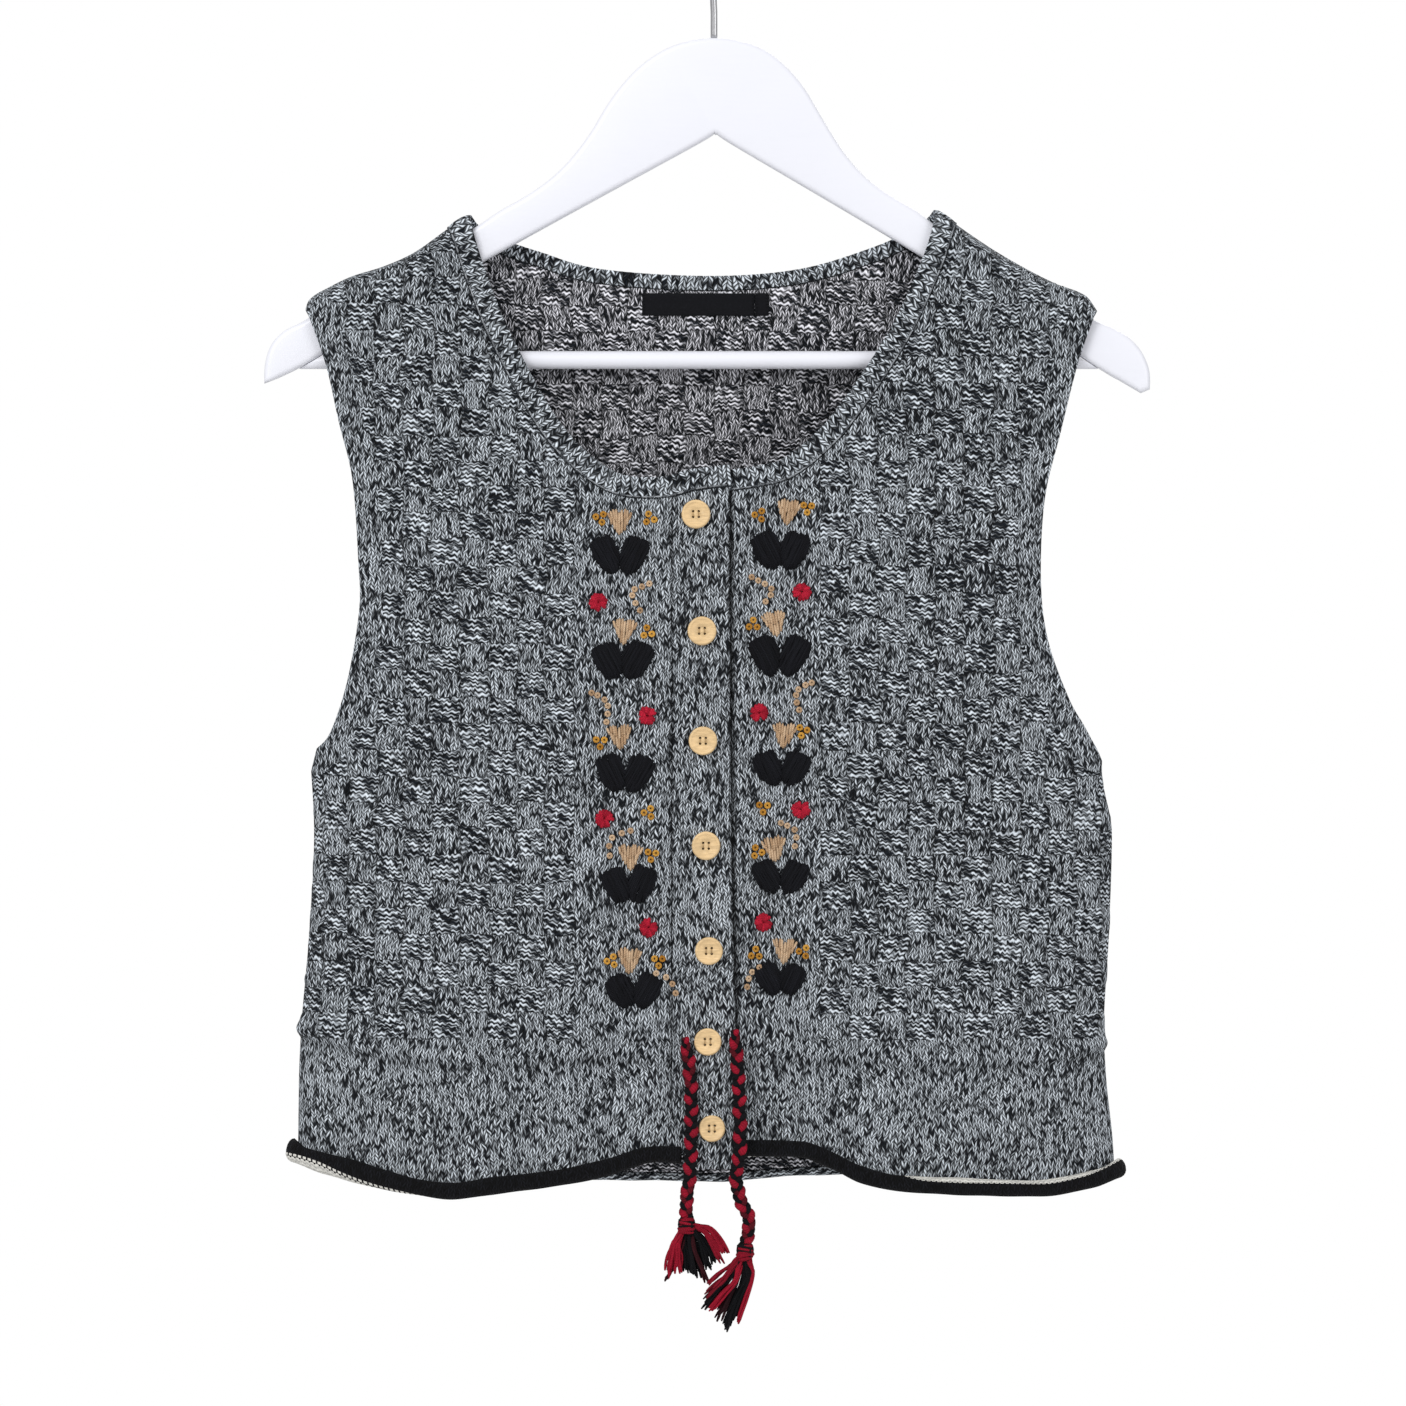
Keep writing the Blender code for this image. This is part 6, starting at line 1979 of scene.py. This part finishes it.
# Wool threads: two colours on a screen that they vary between, and how much their fibres show
WOOLS = {
    "Plait wool": ((13, 13, 17), (166, 20, 46), 0.7),
    "Black wool": ((13, 13, 18), (24, 25, 31), 0.7),
    "Tan wool": ((196, 160, 124), (234, 202, 166), 0.7),
    "Ochre wool": ((188, 128, 44), (234, 176, 78), 0.7),
    "Red wool": ((158, 20, 42), (206, 36, 62), 0.7),
    "Sewing thread": ((190, 150, 100), (216, 180, 128), 0.4),
    "Chain thread": ((70, 74, 80), (190, 195, 200), 0.5),
}
MATERIALS = {
    "Marled knit": marl_material,
    "Marled rib": marl_material,
    "Black hem knit": hem_material,
    "Button wood": wood_material,
    "Black ribbon": ribbon_material,
    "White paint": paint_material,
    "Hook wire": wire_material,
    "Pale floor": floor_material,
    **dict.fromkeys(WOOLS, wool_material),
}


def material_of(name):
    """One of the materials, made when it is first asked for."""
    if name not in bpy.data.materials:
        MATERIALS[name](name)
    return bpy.data.materials[name]


distance = partial(bpy.props.FloatProperty, min=0.0, subtype="DISTANCE", unit="LENGTH")
yarn_colour = partial(bpy.props.FloatVectorProperty, min=0.0, max=1.0, subtype="COLOR")


class VestSizes(bpy.types.PropertyGroup):
    """Sizes that shape the visible stitches, in metres."""

    basket_relief: distance(
        name="Basket relief", description="How far the raised blocks of the weave stand out",
        default=0.0016, max=0.002)
    stitch_depth: distance(
        name="Stitch depth", description="Depth of the grooves between the stitches",
        default=0.0011, max=0.003)
    thread_radius: distance(
        name="Thread radius", description="Half thickness of the embroidery wool",
        default=0.00052, max=0.001)


class VestColours(bpy.types.PropertyGroup):
    """Colours of the yarns, wood and paint."""

    pale_yarn: yarn_colour(
        name="Pale yarn", description="Light strand of the marled yarn",
        default=linear(237, 246, 254))
    dark_yarn: yarn_colour(
        name="Dark yarn", description="Dark strand of the marled yarn",
        default=linear(18, 24, 32))
    black_wool: yarn_colour(
        name="Black wool", description="Wool of the rolled hem", default=linear(7, 7, 9))
    button_wood: yarn_colour(
        name="Button wood", description="Pale wood of the buttons",
        default=linear(236, 202, 150))
    hanger_paint: yarn_colour(
        name="Hanger paint", description="White paint of the hanger",
        default=linear(238, 239, 246))


def put_up(name, data, spot=(0.0, 0.0, 0.0)):
    """An object of the studio at a spot in metres."""
    obj = bpy.data.objects.new(name, data)
    obj.location = spot
    bpy.context.scene.collection.objects.link(obj)
    return obj


class VEST_OT_stage(bpy.types.Operator):
    """Set the floor, the soft studio light and the camera"""

    bl_idname = "vest.stage"
    bl_label = "Stage"

    def execute(self, context):
        scene = context.scene
        scene.view_settings.view_transform = "Standard"
        rim = circle(FLOOR_SIDES, FLOOR_RADIUS)
        data = bpy.data.meshes.new("studio_floor")
        data.from_pydata([(x * MM, y * MM, FLOOR_HEIGHT * MM) for x, y in [(0.0, 0.0)] + rim], [],
                         [(0, k + 1, (k + 1) % FLOOR_SIDES + 1) for k in range(FLOOR_SIDES)])
        data.materials.append(material_of("Pale floor"))
        put_up("studio_floor", data)
        world = bpy.data.worlds.new("Studio")
        world.use_nodes = True
        graph = Graph(world.node_tree)
        seen = graph.add("ShaderNodeLightPath").outputs["Is Camera Ray"]
        graph.feed(graph.mix(seen, STUDIO_LIGHT, (1.0, 1.0, 1.0)),
                   world.node_tree.nodes["Background"].inputs["Color"])
        scene.world = world
        for name, spot, size, power in LAMPS:
            lamp = bpy.data.lights.new(name, "AREA")
            lamp.shape = "RECTANGLE"
            lamp.size, lamp.size_y = size
            lamp.energy = power
            holder = put_up(name, lamp, spot)
            aim = Vector(LAMP_AIM) - Vector(spot)
            holder.rotation_euler = aim.to_track_quat("-Z", "Y").to_euler()
        camera = bpy.data.cameras.new("Photo view")
        camera.lens = CAMERA_LENS
        camera.sensor_width = CAMERA_SENSOR
        camera.clip_end = 20.0
        scene.camera = put_up("Photo view", camera, CAMERA_SPOT)
        scene.camera.rotation_euler = (math.radians(90.0), 0.0, 0.0)
        return {"FINISHED"}


class VEST_OT_hanger(bpy.types.Operator):
    """Make the painted wooden hanger, its bar and its wire hook"""

    bl_idname = "vest.hanger"
    bl_label = "Hanger"

    def execute(self, context):
        make_hanger(material_of("White paint"))
        make_bar(material_of("White paint"))
        make_hook(material_of("Hook wire"))
        return {"FINISHED"}


class VEST_OT_back(bpy.types.Operator):
    """Knit the back"""

    bl_idname = "vest.back"
    bl_label = "Back"

    def execute(self, context):
        make_back(material_of("Marled knit"), context.scene.vest_sizes.basket_relief / MM)
        return {"FINISHED"}


class VEST_OT_fronts(bpy.types.Operator):
    """Knit the two fronts and close the side seams"""

    bl_idname = "vest.fronts"
    bl_label = "Fronts"

    def execute(self, context):
        high = context.scene.vest_sizes.basket_relief / MM
        for side in SIGN:
            make_front(side, material_of("Marled knit"), high)
        make_side_seams(material_of("Chain thread"))
        return {"FINISHED"}


class VEST_OT_bands(bpy.types.Operator):
    """Knit the button bands"""

    bl_idname = "vest.bands"
    bl_label = "Button bands"

    def execute(self, context):
        knit = material_of("Marled knit")
        make_band("top_button_band", "left", lambda z: read(BAND_SEAM["left"], z) + GAP,
                  lambda z: read(OVERLAP_EDGE, z), (0.0, 1.0, 1.0), knit, "buttonhole_band")
        make_band("under_button_band", "right", lambda z: np.full(np.shape(z), UNDER_BAND_EDGE),
                  lambda z: read(BAND_SEAM["right"], z) - GAP, (1.0, 0.0, 1.0), knit,
                  "button_band")
        return {"FINISHED"}


class VEST_OT_neckband(bpy.types.Operator):
    """Knit the ribbed neckband and its chain-stitched seam"""

    bl_idname = "vest.neckband"
    bl_label = "Neckband"

    def execute(self, context):
        make_neckband(material_of("Marled rib"), material_of("Chain thread"))
        return {"FINISHED"}


class VEST_OT_hem(bpy.types.Operator):
    """Roll the black hem outwards"""

    bl_idname = "vest.hem"
    bl_label = "Rolled hem"

    def execute(self, context):
        knit = material_of("Black hem knit")
        sides = {(face, side): sign * float(side_length(HEM_ENDS[side], face, int(sign)))
                 for face in ("front", "back") for side, sign in SIGN.items()}
        for name, face, piece, start, end in (
                ("left", "front", "left", sides["front", "left"], ROLL_END["left"]),
                ("right", "front", "right", ROLL_END["right"], sides["front", "right"]),
                ("back", "back", "", sides["back", "left"], sides["back", "right"])):
            make_hem_roll(f"{name}_hem", face, piece, start, end, knit, f"hem_roll_{name}")
        return {"FINISHED"}


class VEST_OT_buttons(bpy.types.Operator):
    """Turn the seven buttons and sew them on"""

    bl_idname = "vest.buttons"
    bl_label = "Buttons"

    def execute(self, context):
        for number, button in enumerate(BUTTONS, 1):
            make_button(number, *button, material_of("Button wood"), material_of("Sewing thread"))
        return {"FINISHED"}


class VEST_OT_labels(bpy.types.Operator):
    """Sew the bare label and its tab into the back neck"""

    bl_idname = "vest.labels"
    bl_label = "Label"

    def execute(self, context):
        for label in LABELS:
            make_label(*label, material_of("Black ribbon"), material_of("Black wool"))
        return {"FINISHED"}


class VEST_OT_drawstring(bpy.types.Operator):
    """Plait the drawstring's two ends and tie their tassels"""

    bl_idname = "vest.drawstring"
    bl_label = "Drawstring"

    def execute(self, context):
        wool = material_of("Plait wool")
        for side in SIGN:
            plait, line, length = make_plait(side, wool)
            tassel = make_tassel(side, wool)
        return {"FINISHED"}


class VEST_OT_embroidery(bpy.types.Operator):
    """Embroider the flowers, leaves and knots on both fronts"""

    bl_idname = "vest.embroidery"
    bl_label = "Embroidery"

    def execute(self, context):
        for side in SIGN:
            embroider(side, context.scene.vest_sizes.thread_radius / MM)
        return {"FINISHED"}


class VEST_OT_cuts(bpy.types.Operator):
    """Do nothing; each cloth piece notes its own flat size as it is made"""

    bl_idname = "vest.cuts"
    bl_label = "Cuts"

    def execute(self, context):
        return {"FINISHED"}


class VEST_PT_pieces(bpy.types.Panel):
    """Sizes, colours and pieces of the vest"""

    bl_idname = "VEST_PT_pieces"
    bl_label = "Knitted vest"
    bl_space_type = "VIEW_3D"
    bl_region_type = "UI"
    bl_category = "Vest"

    def draw(self, context):
        column = self.layout.column()
        for group in (context.scene.vest_sizes, context.scene.vest_colours):
            for name in group.__annotations__:
                column.prop(group, name)
        for operator in OPERATORS:
            column.operator(operator.bl_idname)


OPERATORS = (
    VEST_OT_stage, VEST_OT_drawstring, VEST_OT_hanger, VEST_OT_fronts, VEST_OT_back,
    VEST_OT_bands, VEST_OT_neckband, VEST_OT_hem, VEST_OT_buttons, VEST_OT_labels,
    VEST_OT_embroidery, VEST_OT_cuts,
)
CLASSES = (VestSizes, VestColours, *OPERATORS, VEST_PT_pieces)


def register():
    for entry in CLASSES:
        bpy.utils.register_class(entry)
    bpy.types.Scene.vest_sizes = bpy.props.PointerProperty(type=VestSizes)
    bpy.types.Scene.vest_colours = bpy.props.PointerProperty(type=VestColours)


def unregister():
    del bpy.types.Scene.vest_colours
    del bpy.types.Scene.vest_sizes
    for entry in reversed(CLASSES):
        bpy.utils.unregister_class(entry)


def main():
    register()
    for operator in OPERATORS:
        group, name = operator.bl_idname.split(".")
        getattr(getattr(bpy.ops, group), name)()


if __name__ == "__main__":
    main()
